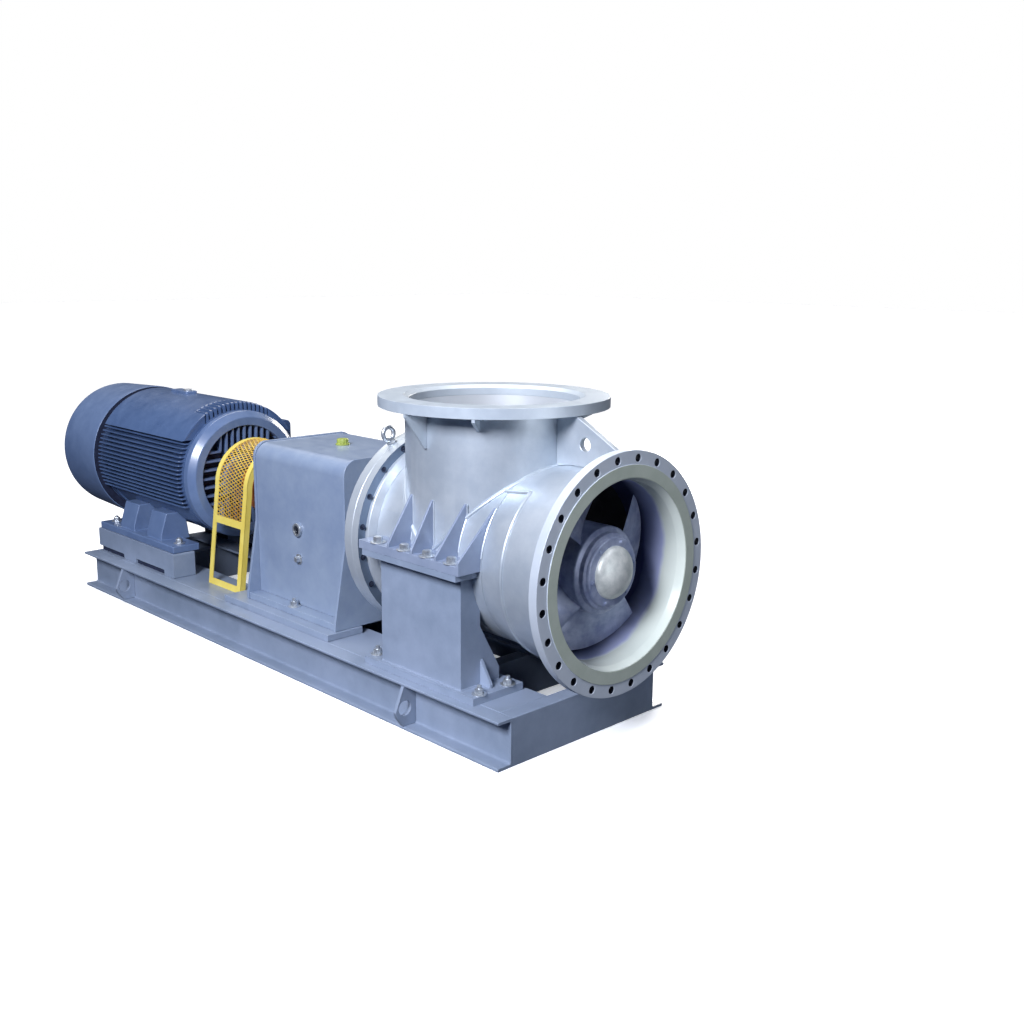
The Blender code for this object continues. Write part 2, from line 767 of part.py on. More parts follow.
# Rotating parts
def impeller_blade(number):
    """Twisted blade lofted between its root on the hub and its tip near the liner."""
    radial_steps = 4
    chord_steps = 8
    root = HUB_R + 0.0015
    half_thickness = 0.005
    wrap = math.radians(74)
    points = []
    for face in (1, -1):
        for i in range(radial_steps + 1):
            out = i / radial_steps
            radius = root + (TIP_R - root) * out
            depth = 0.16 - 0.07 * out
            lean = math.atan2(depth, wrap * radius)
            for j in range(chord_steps + 1):
                along = j / chord_steps - 0.5
                thick = face * half_thickness * (1 - (1.6 * along) ** 2) * (1.2 - 0.5 * out)
                angle = wrap * along + thick * math.sin(lean) / radius
                x = behind(0.19 + 0.015 * out + depth * along) + thick * math.cos(lean)
                points.append((x, radius * math.sin(angle), radius * math.cos(angle)))
    row = chord_steps + 1
    side = (radial_steps + 1) * row
    faces = []
    for i in range(radial_steps):
        for j in range(chord_steps):
            a = i * row + j
            faces.append((a, a + 1, a + 1 + row, a + row))
            faces.append((side + a, side + a + row, side + a + 1 + row, side + a + 1))
    rim = [j for j in range(row)]
    rim += [i * row + chord_steps for i in range(1, radial_steps + 1)]
    rim += [radial_steps * row + j for j in range(chord_steps - 1, -1, -1)]
    rim += [i * row for i in range(radial_steps - 1, 0, -1)]
    for a, b in zip(rim, rim[1:] + rim[:1]):
        faces.append((a, side + a, side + b, b))
    name = f"impeller_blade_{number + 1}"
    mesh = bpy.data.meshes.new(name)
    mesh.from_pydata(points, [], faces)
    work = bmesh.new()
    work.from_mesh(mesh)
    bmesh.ops.triangulate(work, faces=work.faces)
    bmesh.ops.recalc_face_normals(work, faces=work.faces)
    work.to_mesh(mesh)
    work.free()
    smooth(mesh)
    blade = bpy.data.objects.new(name, mesh)
    blade.location = (0, 0, AXIS_Z)
    blade.rotation_euler = (math.radians(10) + 2 * math.pi * number / BLADES, 0, 0)
    return place(blade, BRONZE_GREY)


def rotor():
    turned(
        "impeller_hub",
        [
            (0.0, behind(0.06)),
            (0.128, behind(0.06)),
            (0.142, behind(0.075)),
            (0.142, behind(0.092)),
            (HUB_R, behind(0.10)),
            (HUB_R, behind(0.305)),
            (0.13, behind(0.38)),
            (0.07, behind(0.40)),
            (0.0, behind(0.40)),
        ],
        BRONZE_GREY,
    )
    dome = [(NOSE_R * math.cos(a), behind(0.0597 - 0.047 * math.sin(a))) for a in
            (math.radians(90 - 15 * i) for i in range(7))]
    turned("nose_cap", [(0.0, dome[0][1])] + dome[1:] + [(0.0, dome[-1][1])], STEEL, SMALL_SEGMENTS)
    for number in range(BLADES):
        impeller_blade(number)
    rod("pump_shaft", SHAFT_R, 0.40 + GAP, COUPLING_JOINT - 0.01, STEEL)
    rod("motor_shaft", MOTOR_SHAFT_R, COUPLING_JOINT + 0.01, FRAME_FRONT - 0.01, STEEL)
    halves = (
        ("pump_coupling_half", SHAFT_R, COUPLING_FRONT, COUPLING_JOINT - 0.0015, 1),
        ("motor_coupling_half", MOTOR_SHAFT_R, COUPLING_REAR, COUPLING_JOINT + 0.0015, -1),
    )
    for name, shaft_radius, outer_end, joint_face, direction in halves:
        flange_back = joint_face - direction * 0.045
        profile = [
            (COUPLING_HUB_R, behind(outer_end)),
            (COUPLING_HUB_R, behind(flange_back)),
            (COUPLING_R, behind(flange_back)),
            (COUPLING_R, behind(joint_face)),
            (shaft_radius + GAP, behind(joint_face)),
            (shaft_radius + GAP, behind(outer_end)),
        ]
        turned(name, profile, STEEL, SMALL_SEGMENTS)


# Coupling guard
def coupling_guard():
    """Arched guard on splayed sides, with an open window low in each side."""

    def arch(inset):
        radius = GUARD_R - inset
        foot = GUARD_FOOT_Y - inset
        return [(foot, DECK_Z)] + arc((0.0, AXIS_Z), radius, 0, 180, 16) + [(-foot, DECK_Z)]

    outline = arch(0.0) + list(reversed(arch(GUARD_SHEET)))
    guard = extruded(
        "coupling_guard", [outline], "X", behind(GUARD_REAR), behind(GUARD_FRONT), GUARD_PAINT
    )
    window = box(
        "coupling_guard_window",
        (behind(GUARD_REAR - GUARD_BAR), -0.4, DECK_Z + 0.030),
        (behind(GUARD_FRONT + GUARD_BAR), 0.4, 0.490),
        GUARD_PAINT,
    )
    return cut(guard, window)


# Motor
def frame_outline():
    """Half of the finned section, bottom to top, then its mirror image back down."""

    def reach(radius, z):
        return math.sqrt(radius * radius - z * z)

    first = FIN_LOWEST - FIN_PITCH / 2
    start = math.degrees(math.asin(first / FRAME_R))
    right = arc((0.0, 0.0), FRAME_R, -90, start, 6)[1:]
    for number in range(FINS):
        middle = FIN_LOWEST + number * FIN_PITCH
        for z in (middle - FIN / 2, middle + FIN / 2):
            pair = [(reach(FRAME_R, z), z), (reach(FIN_R, z), z)]
            right += pair if z < middle else pair[::-1]
    right.append((reach(FRAME_R, CROWN_Z), CROWN_Z))
    crown_start = math.degrees(math.asin(CROWN_Z / CROWN_R))
    right += arc((0.0, 0.0), CROWN_R, crown_start, 90, 6)
    left = [(-u, v) for u, v in reversed(right[:-1])]
    outline = [(0.0, -FRAME_R)] + right + left
    return [(u, MOTOR_Z + v) for u, v in outline]


def motor():
    extruded(
        "motor_frame", [frame_outline()], "X", behind(FRAME_REAR - GAP), behind(FRAME_FRONT + GAP), MOTOR_PAINT
    )
    corner = [(0.310 + 0.04 * math.cos(a), behind(3.81 + 0.04 * math.sin(a))) for a in
              (math.radians(18 * i) for i in range(6))]
    turned(
        "motor_fan_cowl",
        [(0.0, behind(FRAME_REAR)), (COWL_R, behind(FRAME_REAR))]
        + corner
        + [(0.0, behind(COWL_REAR))],
        MOTOR_PAINT,
        centre=(0.0, 0.0, MOTOR_Z),
    )
    bore = running_bore(MOTOR_SHAFT_R, SEGMENTS)
    shield = turned(
        "motor_drive_end_shield",
        [
            (0.0, behind(2.50)),
            (0.12, behind(2.50)),
            (0.12, behind(2.525)),
            (0.25, behind(2.525)),
            (0.25, behind(SHIELD_FRONT)),
            (0.29, behind(SHIELD_FRONT)),
            (SHIELD_R, behind(2.51)),
            (SHIELD_R, behind(FRAME_FRONT)),
            (0.0, behind(FRAME_FRONT)),
        ],
        MOTOR_PAINT,
        centre=(0.0, 0.0, MOTOR_Z),
    )
    cut(shield, rod("motor_shaft_bore", bore, 2.45, 2.65, MOTOR_PAINT, SEGMENTS))
    for side, word in ((-1, "near"), (1, "far")):
        motor_support(side, word)
    low_z = 0.75
    inner = math.sqrt(FIN_R ** 2 - (low_z - MOTOR_Z) ** 2) + GAP
    box("motor_terminal_box", (behind(3.02), inner, low_z), (behind(2.70), 0.41, 0.905), MOTOR_PAINT)
    crown = MOTOR_Z + CROWN_R + GAP
    boss = [
        (crown, behind(2.96)),
        (crown + 0.020, behind(2.97)),
        (crown + 0.025, behind(2.98)),
        (crown + 0.025, behind(3.15)),
        (crown + 0.020, behind(3.16)),
        (crown, behind(3.17)),
    ]
    extruded("motor_lifting_boss", [boss], "Y", -0.035, 0.035, MOTOR_PAINT)


def motor_support(side, word):
    """Stand on three pads and the motor's foot on it, with two webs up to the frame."""
    low, high = span(side, *STAND_Y)
    stand = box(
        f"motor_stand_{word}", (behind(3.42), low, DECK_Z), (behind(2.60), high, STAND_TOP), FRAME_PAINT
    )
    for number, (front, rear) in enumerate(STAND_SLOTS):
        slot = box(
            f"motor_stand_{word}_slot_{number}",
            (behind(rear), low - 0.05, DECK_Z - 0.05),
            (behind(front), high + 0.05, SLOT_TOP),
            FRAME_PAINT,
        )
        cut(stand, slot)
    low, high = span(side, 0.22, 0.365)
    foot = box(
        f"motor_foot_{word}",
        (behind(3.40), low, STAND_TOP + GAP),
        (behind(2.605), high, MOTOR_FOOT_TOP),
        MOTOR_PAINT,
    )
    outline = [
        (0.34, MOTOR_FOOT_TOP - 0.01),
        (0.34, 0.37),
        (0.305, 0.48),
        (0.20, 0.48),
        (0.18, MOTOR_FOOT_TOP - 0.01),
    ]
    for number, (front, rear) in enumerate(MOTOR_WEBS):
        web = extruded(
            f"motor_foot_{word}_web_{number}",
            [sided(side, outline)],
            "X",
            behind(rear),
            behind(front),
            MOTOR_PAINT,
        )
        join(foot, web)
    seat = rod(f"motor_foot_{word}_seat", FRAME_R + 0.0012, 2.4, 3.6, MOTOR_PAINT, SEGMENTS)
    seat.location.z += MOTOR_Z - AXIS_Z
    cut(foot, seat)


base_frame()
for side, word in ((-1, "near"), (1, "far")):
    pedestal(side, word)
    support_foot(side, word)
elbow_casing()
discharge_flange()
lifting_lug()
suction_end()
casing_cover()
bearing_housing()
rotor()
coupling_guard()
motor()
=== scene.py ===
import math
from functools import partial

import bmesh
import bpy
import numpy as np
from mathutils import Matrix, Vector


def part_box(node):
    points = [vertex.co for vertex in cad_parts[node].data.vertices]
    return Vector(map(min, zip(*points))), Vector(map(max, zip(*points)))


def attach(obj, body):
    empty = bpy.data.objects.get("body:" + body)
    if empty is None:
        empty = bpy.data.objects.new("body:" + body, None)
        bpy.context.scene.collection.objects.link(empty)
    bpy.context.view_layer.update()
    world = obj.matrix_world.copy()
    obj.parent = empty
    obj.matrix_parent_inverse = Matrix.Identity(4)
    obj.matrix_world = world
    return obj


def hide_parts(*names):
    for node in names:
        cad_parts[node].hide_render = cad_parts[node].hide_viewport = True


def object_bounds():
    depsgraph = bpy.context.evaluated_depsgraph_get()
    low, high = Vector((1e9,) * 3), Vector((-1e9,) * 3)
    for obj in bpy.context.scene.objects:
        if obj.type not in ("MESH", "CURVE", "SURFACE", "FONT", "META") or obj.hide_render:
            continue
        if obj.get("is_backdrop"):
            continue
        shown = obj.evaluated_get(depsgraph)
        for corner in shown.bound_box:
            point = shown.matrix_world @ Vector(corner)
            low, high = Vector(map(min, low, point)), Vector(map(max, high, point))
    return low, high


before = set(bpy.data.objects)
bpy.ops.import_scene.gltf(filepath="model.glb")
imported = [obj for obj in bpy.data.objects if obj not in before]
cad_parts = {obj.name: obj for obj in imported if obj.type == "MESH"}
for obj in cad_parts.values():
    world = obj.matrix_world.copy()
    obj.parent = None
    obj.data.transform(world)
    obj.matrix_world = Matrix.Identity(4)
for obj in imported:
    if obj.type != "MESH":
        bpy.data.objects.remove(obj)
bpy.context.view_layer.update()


# The studio: a pale floor, a soft sky, four soft lamps and a wide light overhead. The camera
# stands where the photograph was taken from, a little above the shaft's height.
def linear(colour):
    """An sRGB hex value as a linear colour."""
    channels = np.array([int(colour[i:i + 2], 16) for i in (0, 2, 4)]) / 255
    curved = ((channels + 0.055) / 1.055) ** 2.4
    return (*np.where(channels <= 0.04045, channels / 12.92, curved), 1.0)


def feed(node, **inputs):
    """Sets a node's inputs: a hex colour is made linear, a node is linked by its used output."""
    for key, value in inputs.items():
        socket = node.inputs[int(key[1:]) if key[1:].isdigit() else key.replace("_", " ")]
        if isinstance(value, bpy.types.Node):
            value = next(output for output in value.outputs if output.enabled)
        if isinstance(value, bpy.types.NodeSocket):
            node.id_data.links.new(value, socket)
        else:
            socket.default_value = linear(value) if isinstance(value, str) else value


def add_node(tree, kind, setting=None, **inputs):
    """Adds a shader node with its inputs; its setting is the sum it does or the type it mixes."""
    node = tree.nodes.new("ShaderNode" + kind)
    if setting:
        setattr(node, "data_type" if kind == "Mix" else "operation", setting)
    feed(node, **inputs)
    return node


bpy.context.scene.view_settings.view_transform = "Standard"
FLOOR = 40
floor_mesh = bpy.data.meshes.new("floor")
floor_mesh.from_pydata(
    [(-FLOOR, -FLOOR, 0), (FLOOR, -FLOOR, 0), (FLOOR, FLOOR, 0), (-FLOOR, FLOOR, 0)], [],
    [(0, 1, 2, 3)],
)
floor = bpy.data.objects.new("floor", floor_mesh)
bpy.context.scene.collection.objects.link(floor)
# Matt white floor paint: no shine. It glows a little to the camera, so that its far edge fades,
# and throws back little light, as the far floor of a wide dim room does.
floor_paint = bpy.data.materials.new("matt white floor paint")
floor_paint.use_nodes = True
tree = floor_paint.node_tree
seen = add_node(tree, "LightPath").outputs["Is Camera Ray"]
shade = add_node(tree, "Mix", "RGBA", _0=seen, _6="2C3240", _7="FCFDFF")
glow = add_node(tree, "Math", "MULTIPLY", _0=seen, _1=0.34)
feed(
    tree.nodes["Principled BSDF"], Base_Color=shade, Roughness=0.9, Specular_IOR_Level=0.0,
    Emission_Color="F6FAFF", Emission_Strength=glow,
)
floor.data.materials.append(floor_paint)
floor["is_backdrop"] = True

world = bpy.data.worlds.new("studio sky")
bpy.context.scene.world = world
world.use_nodes = True
tree = world.node_tree
seen = add_node(tree, "LightPath").outputs["Is Camera Ray"]
sky = add_node(tree, "Mix", "RGBA", _0=seen, _6="2F374A", _7="FFFFFF")
feed(tree.nodes["Background"], Color=sky)


def lamp(name, place, towards, size, power, colour):
    """A square area lamp that faces a point."""
    light = bpy.data.lights.new(name, "AREA")
    light.size, light.energy, light.color = size, power, linear(colour)[:3]
    made = bpy.data.objects.new(name, light)
    made.visible_camera = False
    bpy.context.scene.collection.objects.link(made)
    back = np.subtract(place, towards)
    back = back / np.linalg.norm(back)
    side = np.cross((0, 0, 1), back)
    side = side / np.linalg.norm(side)
    turn = Matrix(np.stack((side, np.cross(back, side), back), 1).tolist())
    made.matrix_world = Matrix.Translation(place) @ turn.to_4x4()


lamp("near side lamp", (2.9, -5.3, 4.2), (0.4, 0.0, 0.6), 2.0, 700, "F0F3FF")
lamp("front lamp", (3.6, 0.9, 5.0), (1.8, 0.1, 0.6), 1.2, 46, "F4F6FF")
lamp("low front lamp", (5.4, 0.2, 0.9), (1.9, 0.0, 0.5), 1.2, 25, "F4F8FF")
lamp("far side lamp", (-1.8, 6.2, 2.6), (-0.2, 0.0, 0.6), 2.0, 210, "FFFAF3")
sun = bpy.data.objects.new("roof light", bpy.data.lights.new("roof light", "SUN"))
sun.data.energy = 2.4
sun.data.angle = math.radians(50)
sun.data.color = linear("FFFAF3")[:3]
sun.rotation_euler = (math.radians(-12), math.radians(-24), 0)
bpy.context.scene.collection.objects.link(sun)

EYE = (4.4717, -3.0589, 1.7571)
azimuth, elevation, roll = math.radians(45.604), math.radians(12.335), math.radians(0.511)
back = np.array((
    math.sin(azimuth) * math.cos(elevation), -math.cos(azimuth) * math.cos(elevation),
    math.sin(elevation),
))
level = np.cross(-back, (0, 0, 1))
level /= np.linalg.norm(level)
right = math.cos(roll) * level + math.sin(roll) * np.cross(back, level)
camera_data = bpy.data.cameras.new("camera")
camera_data.sensor_width = 36.0
camera_data.lens = 40.695
camera = bpy.data.objects.new("camera", camera_data)
bpy.context.scene.collection.objects.link(camera)
turn = Matrix(np.stack((right, np.cross(back, right), back), 1).tolist())
camera.matrix_world = Matrix.Translation(EYE) @ turn.to_4x4()
bpy.context.scene.camera = camera


# The base frame is welded from rolled channel, two long ones open outwards and one across each
# end, sprayed with blue-grey enamel. Rolling leaves round toes and a soft root in the section.
SUCTION_X = 1.925
AXIS_Z = 0.664
GAP = 0.0003


def behind(distance):
    """X of the plane that lies this far behind the suction flange's face."""
    return SUCTION_X - distance


def opened(paint):
    """A material's shader, its Object coordinates and a function that adds nodes to it."""
    add = partial(add_node, paint.node_tree)
    return paint.node_tree.nodes["Principled BSDF"], add("TexCoord").outputs["Object"], add


def blank(name):
    """A new material for the pieces of one slot, opened."""
    made = bpy.data.materials.new(name)
    made.use_nodes = True
    return made, *opened(made)


def enamel(name, light, dark, roughness, coat=0.25, metallic=0.0):
    """Sprayed enamel: slow clouds of tone, fine dust and the skin of dried spray.

    Its tone runs between two colours by noise of 0.5 m and 60 mm; the skin is noise of 5 mm,
    drawn coarser than the real 2 mm so that it shows.
    """
    made, shader, place, add = blank(name)
    clouds = add("TexNoise", Vector=place, Scale=2.0, Detail=4.0, Roughness=0.6)
    dust = add("TexNoise", Vector=place, Scale=17.0, Detail=5.0, Roughness=0.65)
    both = add("Math", "MULTIPLY_ADD", _0=dust, _1=0.45, _2=clouds)
    share = add("MapRange", Value=both, From_Min=0.55, From_Max=0.90)
    tone = add("Mix", "RGBA", _0=share, _6=dark, _7=light)
    gloss = add(
        "MapRange", Value=dust, From_Min=0.3, From_Max=0.7,
        To_Min=roughness - 0.06, To_Max=roughness + 0.08,
    )
    skin = add("TexNoise", Vector=place, Scale=200.0, Detail=2.0)
    bump = add("Bump", Height=skin, Strength=0.12, Distance=0.001)
    feed(
        shader, Metallic=metallic, Coat_Weight=coat, Coat_Roughness=0.2,
        Base_Color=tone, Roughness=gloss, Normal=bump,
    )
    return made


def rounded(outline, radius, steps=5):
    """A closed outline with each corner replaced by a curve.

    The curve starts and ends where an arc of the radius would touch the two sides, and is
    (1-t)^2 A + 2t(1-t) P + t^2 B for the corner P.
    """
    corner = np.asarray(outline, float)
    radius = np.broadcast_to(radius, len(corner))
    to_last = np.roll(corner, 1, 0) - corner
    to_next = np.roll(corner, -1, 0) - corner
    last_length = np.linalg.norm(to_last, axis=1)
    next_length = np.linalg.norm(to_next, axis=1)
    last_unit = to_last / last_length[:, None]
    next_unit = to_next / next_length[:, None]
    half = np.arccos(np.clip((last_unit * next_unit).sum(1), -1, 1)) / 2
    cut = np.minimum(radius / np.tan(half), 0.48 * np.minimum(last_length, next_length))
    start = (corner + last_unit * cut[:, None])[:, None]
    end = (corner + next_unit * cut[:, None])[:, None]
    t = np.linspace(0, 1, steps)[None, :, None]
    curve = (1 - t) ** 2 * start + 2 * t * (1 - t) * corner[:, None] + t ** 2 * end
    curve = curve.reshape(-1, 2)
    return curve[np.linalg.norm(curve - np.roll(curve, 1, 0), axis=1) > 1e-6]


def prism(outline, axis, start, end, edge=0.0015):
    """An outline drawn out along an axis, its end edges rounded.

    Points are (y, z) along X, (x, z) along Y and (x, y) along Z. Near an end the outline is
    pulled in by edge (1 - sin a) at edge (1 - cos a) from it, for a from 0 to 90 degrees.
    """
    outline = np.asarray(outline, float)
    on = np.roll(outline, -1, 0) - outline
    area = (outline[:, 0] * on[:, 1] - outline[:, 1] * on[:, 0]).sum()
    on = on / np.linalg.norm(on, axis=1)[:, None]
    inward = np.stack((-on[:, 1], on[:, 0]), 1) * math.copysign(1, area)
    last_inward = np.roll(inward, 1, 0)
    mitre = (inward + last_inward) / np.maximum(1 + (inward * last_inward).sum(1), 0.3)[:, None]
    angle = np.radians((0, 45, 90))
    pull = np.concatenate((1 - np.sin(angle), 1 - np.sin(angle[::-1]))) * edge
    sink = edge * (1 - np.cos(angle))
    depth = np.concatenate((start + sink, end - sink[::-1]))
    flat = outline[None] + mitre[None] * pull[:, None, None]
    deep = np.broadcast_to(depth[:, None], flat.shape[:2])
    order = {"X": (2, 0, 1), "Y": (0, 2, 1), "Z": (0, 1, 2)}[axis]
    grid = np.stack((flat[..., 0], flat[..., 1], deep), -1)[..., order]
    return [np.concatenate((grid, grid[:, :1]), 1), grid[0], grid[-1]]


def add_piece(name, shapes, paint, body="pump_set", stands_for="", sharp=32):
    """One mesh of grids of points (rows, columns, 3) and of flat faces (points, 3)."""
    points, faces, count = [], [], 0
    for shape in shapes:
        number = np.arange(shape[..., 0].size).reshape(shape.shape[:-1]) + count
        if shape.ndim == 2:
            faces.append(number.tolist())
        else:
            sides = (
                number[..., :-1, :-1], number[..., 1:, :-1],
                number[..., 1:, 1:], number[..., :-1, 1:],
            )
            faces += np.stack(sides, -1).reshape(-1, 4).tolist()
        points.append(shape.reshape(-1, 3))
        count += number.size
    mesh = bpy.data.meshes.new(name)
    mesh.from_pydata(np.concatenate(points).tolist(), [], faces)
    finished(name, mesh, paint, body, stands_for, sharp)


def finished(name, mesh, paint, body, stands_for, sharp):
    """Welds a mesh, turns its faces outwards, shades it and hangs it on its body.
    """
    work = bmesh.new()
    work.from_mesh(mesh)
    bmesh.ops.remove_doubles(work, verts=work.verts, dist=0.00003)
    bmesh.ops.recalc_face_normals(work, faces=work.faces)
    work.to_mesh(mesh)
    work.free()
    mesh.shade_smooth()
    mesh.set_sharp_from_angle(angle=math.radians(sharp))
    mesh.materials.append(paint)
    made = bpy.data.objects.new(name, mesh)
    bpy.context.scene.collection.objects.link(made)
    shading = made.modifiers.new("even shading", "WEIGHTED_NORMAL")
    shading.keep_sharp = True
    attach(made, body)
    if stands_for:
        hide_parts(stands_for)
    return made


# Blue-grey alkyd enamel, sprayed: half gloss, with faint clouds where coats overlap.
frame_paint = enamel("base frame enamel", "8F9CB1", "7D8B9F", 0.40)
BASE_FRONT, BASE_REAR = behind(0.169), behind(3.422)
HEIGHT, WEB_Y, EDGE_Y = 0.185, 0.385, 0.458
WEB, TOE, END_DEPTH = 0.010, 0.012, 0.067
SIDES = ((-1, "near"), (1, "far"))


def channel(opening, back, radius):
    """A channel's section, open on one side, its web on the other, its toes and roots rounded."""
    web = back + math.copysign(WEB, opening - back)
    outline = (
        (opening, 0), (back, 0), (back, HEIGHT), (opening, HEIGHT), (opening, HEIGHT - TOE),
        (web, HEIGHT - TOE), (web, TOE), (opening, TOE),
    )
    return rounded(outline, (0.003, radius, radius, 0.003, 0.006, 0.010, 0.010, 0.006))


for side, word in SIDES:
    section = channel(EDGE_Y, WEB_Y, 0.003) * (side, 1)
    add_piece(
        f"side_channel_{word}", prism(section, "X", BASE_REAR, BASE_FRONT), frame_paint,
        stands_for=f"base_beam_{word}",
    )
for name, node, opening, back in (
    ("front_channel", "base_front_channel", BASE_FRONT - END_DEPTH, BASE_FRONT),
    ("rear_channel", "base_rear_channel", BASE_REAR, BASE_REAR + END_DEPTH),
):
    section = prism(channel(opening, back, 0.004), "Y", -WEB_Y + GAP, WEB_Y - GAP)
    add_piece(name, section, frame_paint, stands_for=node)


# Deck strips, cross members and lifting plates are flame-cut plate, welded into the channels.
# Their edges are only dressed with a grinder, so each keeps a rounding of a millimetre or two.
def softened(node, paint, edge=0.002):
    """The node's own shape, welded together, its flat faces made whole and its edges rounded."""
    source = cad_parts[node].data
    points = np.empty(len(source.vertices) * 3)
    corners = np.empty(len(source.polygons) * 3, int)
    source.vertices.foreach_get("co", points)
    source.polygons.foreach_get("vertices", corners)
    mesh = bpy.data.meshes.new(node + "_dressed")
    mesh.from_pydata(points.reshape(-1, 3).tolist(), [], corners.reshape(-1, 3).tolist())
    work = bmesh.new()
    work.from_mesh(mesh)
    bmesh.ops.remove_doubles(work, verts=work.verts, dist=0.00005)
    bmesh.ops.dissolve_limit(
        work, angle_limit=math.radians(0.6), verts=work.verts, edges=work.edges
    )
    work.to_mesh(mesh)
    work.free()
    made = finished(node + "_dressed", mesh, paint, "pump_set", node, 30)
    if edge:
        bevel = made.modifiers.new("dressed edge", "BEVEL")
        bevel.width = edge
        bevel.segments = 2
        bevel.limit_method = "ANGLE"
        bevel.angle_limit = math.radians(35)
        bevel.harden_normals = False
        made.modifiers.move(1, 0)


for node in (
    "deck_plate_near", "deck_plate_far", "lifting_plate_front_near", "lifting_plate_front_far",
    "lifting_plate_rear_near", "lifting_plate_rear_far", "base_cross_member_front",
    "base_cross_member_middle", "base_cross_member_rear",
):
    softened(node, frame_paint, 0.0015)


# The pedestals are boxes of 15 mm plate, open inwards, on bolted sole plates. The weld beads
# at their feet and heads are painted over with the same enamel.
def bead(start, end, radius=0.004, ripple=0.012):
    """A weld bead between two points: a round bar, its radius swelling with each ripple."""
    start, end = np.asarray(start, float), np.asarray(end, float)
    length = np.linalg.norm(end - start)
    count = max(int(length / ripple) * 3, 8)
    t = np.linspace(0, 1, count)
    path = start + (end - start) * t[:, None]
    return carried(path, radius * (1 + 0.10 * np.sin(2 * np.pi * length * t / ripple)), 8)


def carried(path, radius, sides):
    """A round bar carried along a path; its ends are closed by rings of no radius.

    Each ring lies across the path's direction, on two unit vectors found by cross products
    with the direction that the path leaves most.
    """
    path = np.asarray(path, float)
    ahead = np.gradient(path, axis=0)
    ahead /= np.linalg.norm(ahead, axis=1)[:, None]
    helper = np.eye(3)[np.argmin(np.abs(ahead).max(0))]
    first = np.cross(ahead, helper)
    first /= np.linalg.norm(first, axis=1)[:, None]
    second = np.cross(ahead, first)
    angle = np.linspace(0, 2 * np.pi, sides + 1)[None, :, None]
    radius = np.broadcast_to(radius, len(path)).copy()
    ring = first[:, None] * np.cos(angle) + second[:, None] * np.sin(angle)
    wall = path[:, None] + ring * radius[:, None, None]
    caps = np.repeat(path[[0, -1], None], sides + 1, 1)
    return [np.concatenate((caps[:1], wall, caps[1:]))]


def hexagon_bolt(flats, stud=0.0):
    """A hexagon head on a washer, standing on the origin, as rows of rings.

    A ring's radius is r (1 + s (h - 1)), where h is the hexagon's 1/cos of the angle from the
    middle of its flat, and s is 1 on the head's sides and 0 on the washer and the stud.
    """
    angle = np.radians(np.arange(0, 361, 15))
    hexagon = 1 / np.cos((angle + math.pi / 6) % (math.pi / 3) - math.pi / 6)
    rows = [(0, 0, 0), (0.92, 0, 0), (0.95, 0.03, 0), (0.95, 0.10, 0), (0.90, 0.13, 0),
            (0.5, 0.13, 1), (0.5, 0.66, 1), (0.47, 0.76, 0.5), (0.42, 0.78, 0)]
    if stud:
        rows += [(0.29, 0.78, 0), (0.29, 0.78 + stud, 0), (0.25, 0.82 + stud, 0)]
    rows.append((0, 0.82 + stud if stud else 0.78, 0))
    radius, height, share = np.array(rows, float).T
    reach = radius[:, None] * (1 + share[:, None] * (hexagon - 1))
    return flats * np.stack((
        reach * np.cos(angle), reach * np.sin(angle), np.broadcast_to(height[:, None], reach.shape)
    ), -1)


def placed(grid, spots, along=(0, 0, 1)):
    """Copies of a grid at each spot, its own Z turned to point along a direction."""
    spots = np.atleast_2d(np.asarray(spots, float))
    along = np.broadcast_to(np.asarray(along, float), spots.shape)
    along = along / np.linalg.norm(along, axis=1)[:, None]
    helper = np.where(np.abs(along[:, 2:]) > 0.9, (1.0, 0, 0), (0, 0, 1.0))
    first = np.cross(helper, along)
    first /= np.linalg.norm(first, axis=1)[:, None]
    second = np.cross(along, first)
    basis = np.stack((first, second, along), 1)
    return [np.einsum("rcj,kji->krci", grid, basis) + spots[:, None, None]]


def metal(name, light, dark, roughness, metallic, grain):
    """Bare or plated metal: two tones and a roughness that vary over a grain given in metres."""
    made, shader, place, add = blank(name)
    noise = add("TexNoise", Vector=place, Scale=1 / grain, Detail=4.0, Roughness=0.6)
    share = add("MapRange", Value=noise, From_Min=0.35, From_Max=0.65)
    tone = add("Mix", "RGBA", _0=share, _6=dark, _7=light)
    gloss = add("MapRange", Value=noise, To_Min=roughness - 0.08, To_Max=roughness + 0.08)
    bump = add("Bump", Height=noise, Strength=0.06, Distance=0.001)
    feed(shader, Metallic=metallic, Base_Color=tone, Roughness=gloss, Normal=bump)
    return made


# Zinc plate on steel fasteners: pale and half bright, in small patches.
zinc = metal("zinc plated steel", "DDE2E6", "BAC1C8", 0.36, 0.8, 0.010)
WALL_Y, INNER_Y, SOLE_Z, HEAD_Z = 0.398, 0.21, 0.214, 0.640
for side, word in SIDES:
    softened(f"pedestal_{word}", frame_paint, 0.002)
    front, rear, wall, inner = behind(0.43), behind(0.89), side * WALL_Y, side * INNER_Y
    welds = bead((front, wall, SOLE_Z), (rear, wall, SOLE_Z))
    welds += bead((front, wall, HEAD_Z), (rear, wall, HEAD_Z), 0.003)
    welds += bead((front, wall, SOLE_Z), (front, inner, SOLE_Z))
    welds += bead((rear, wall, SOLE_Z), (rear, inner, SOLE_Z))
    add_piece(f"pedestal_welds_{word}", welds, frame_paint)
    spots = [(behind(d), side * y, SOLE_Z) for d in (0.362, 0.958) for y in (0.369, 0.225)]
    add_piece(f"sole_bolts_{word}", placed(hexagon_bolt(0.030, 0.35), spots), zinc)


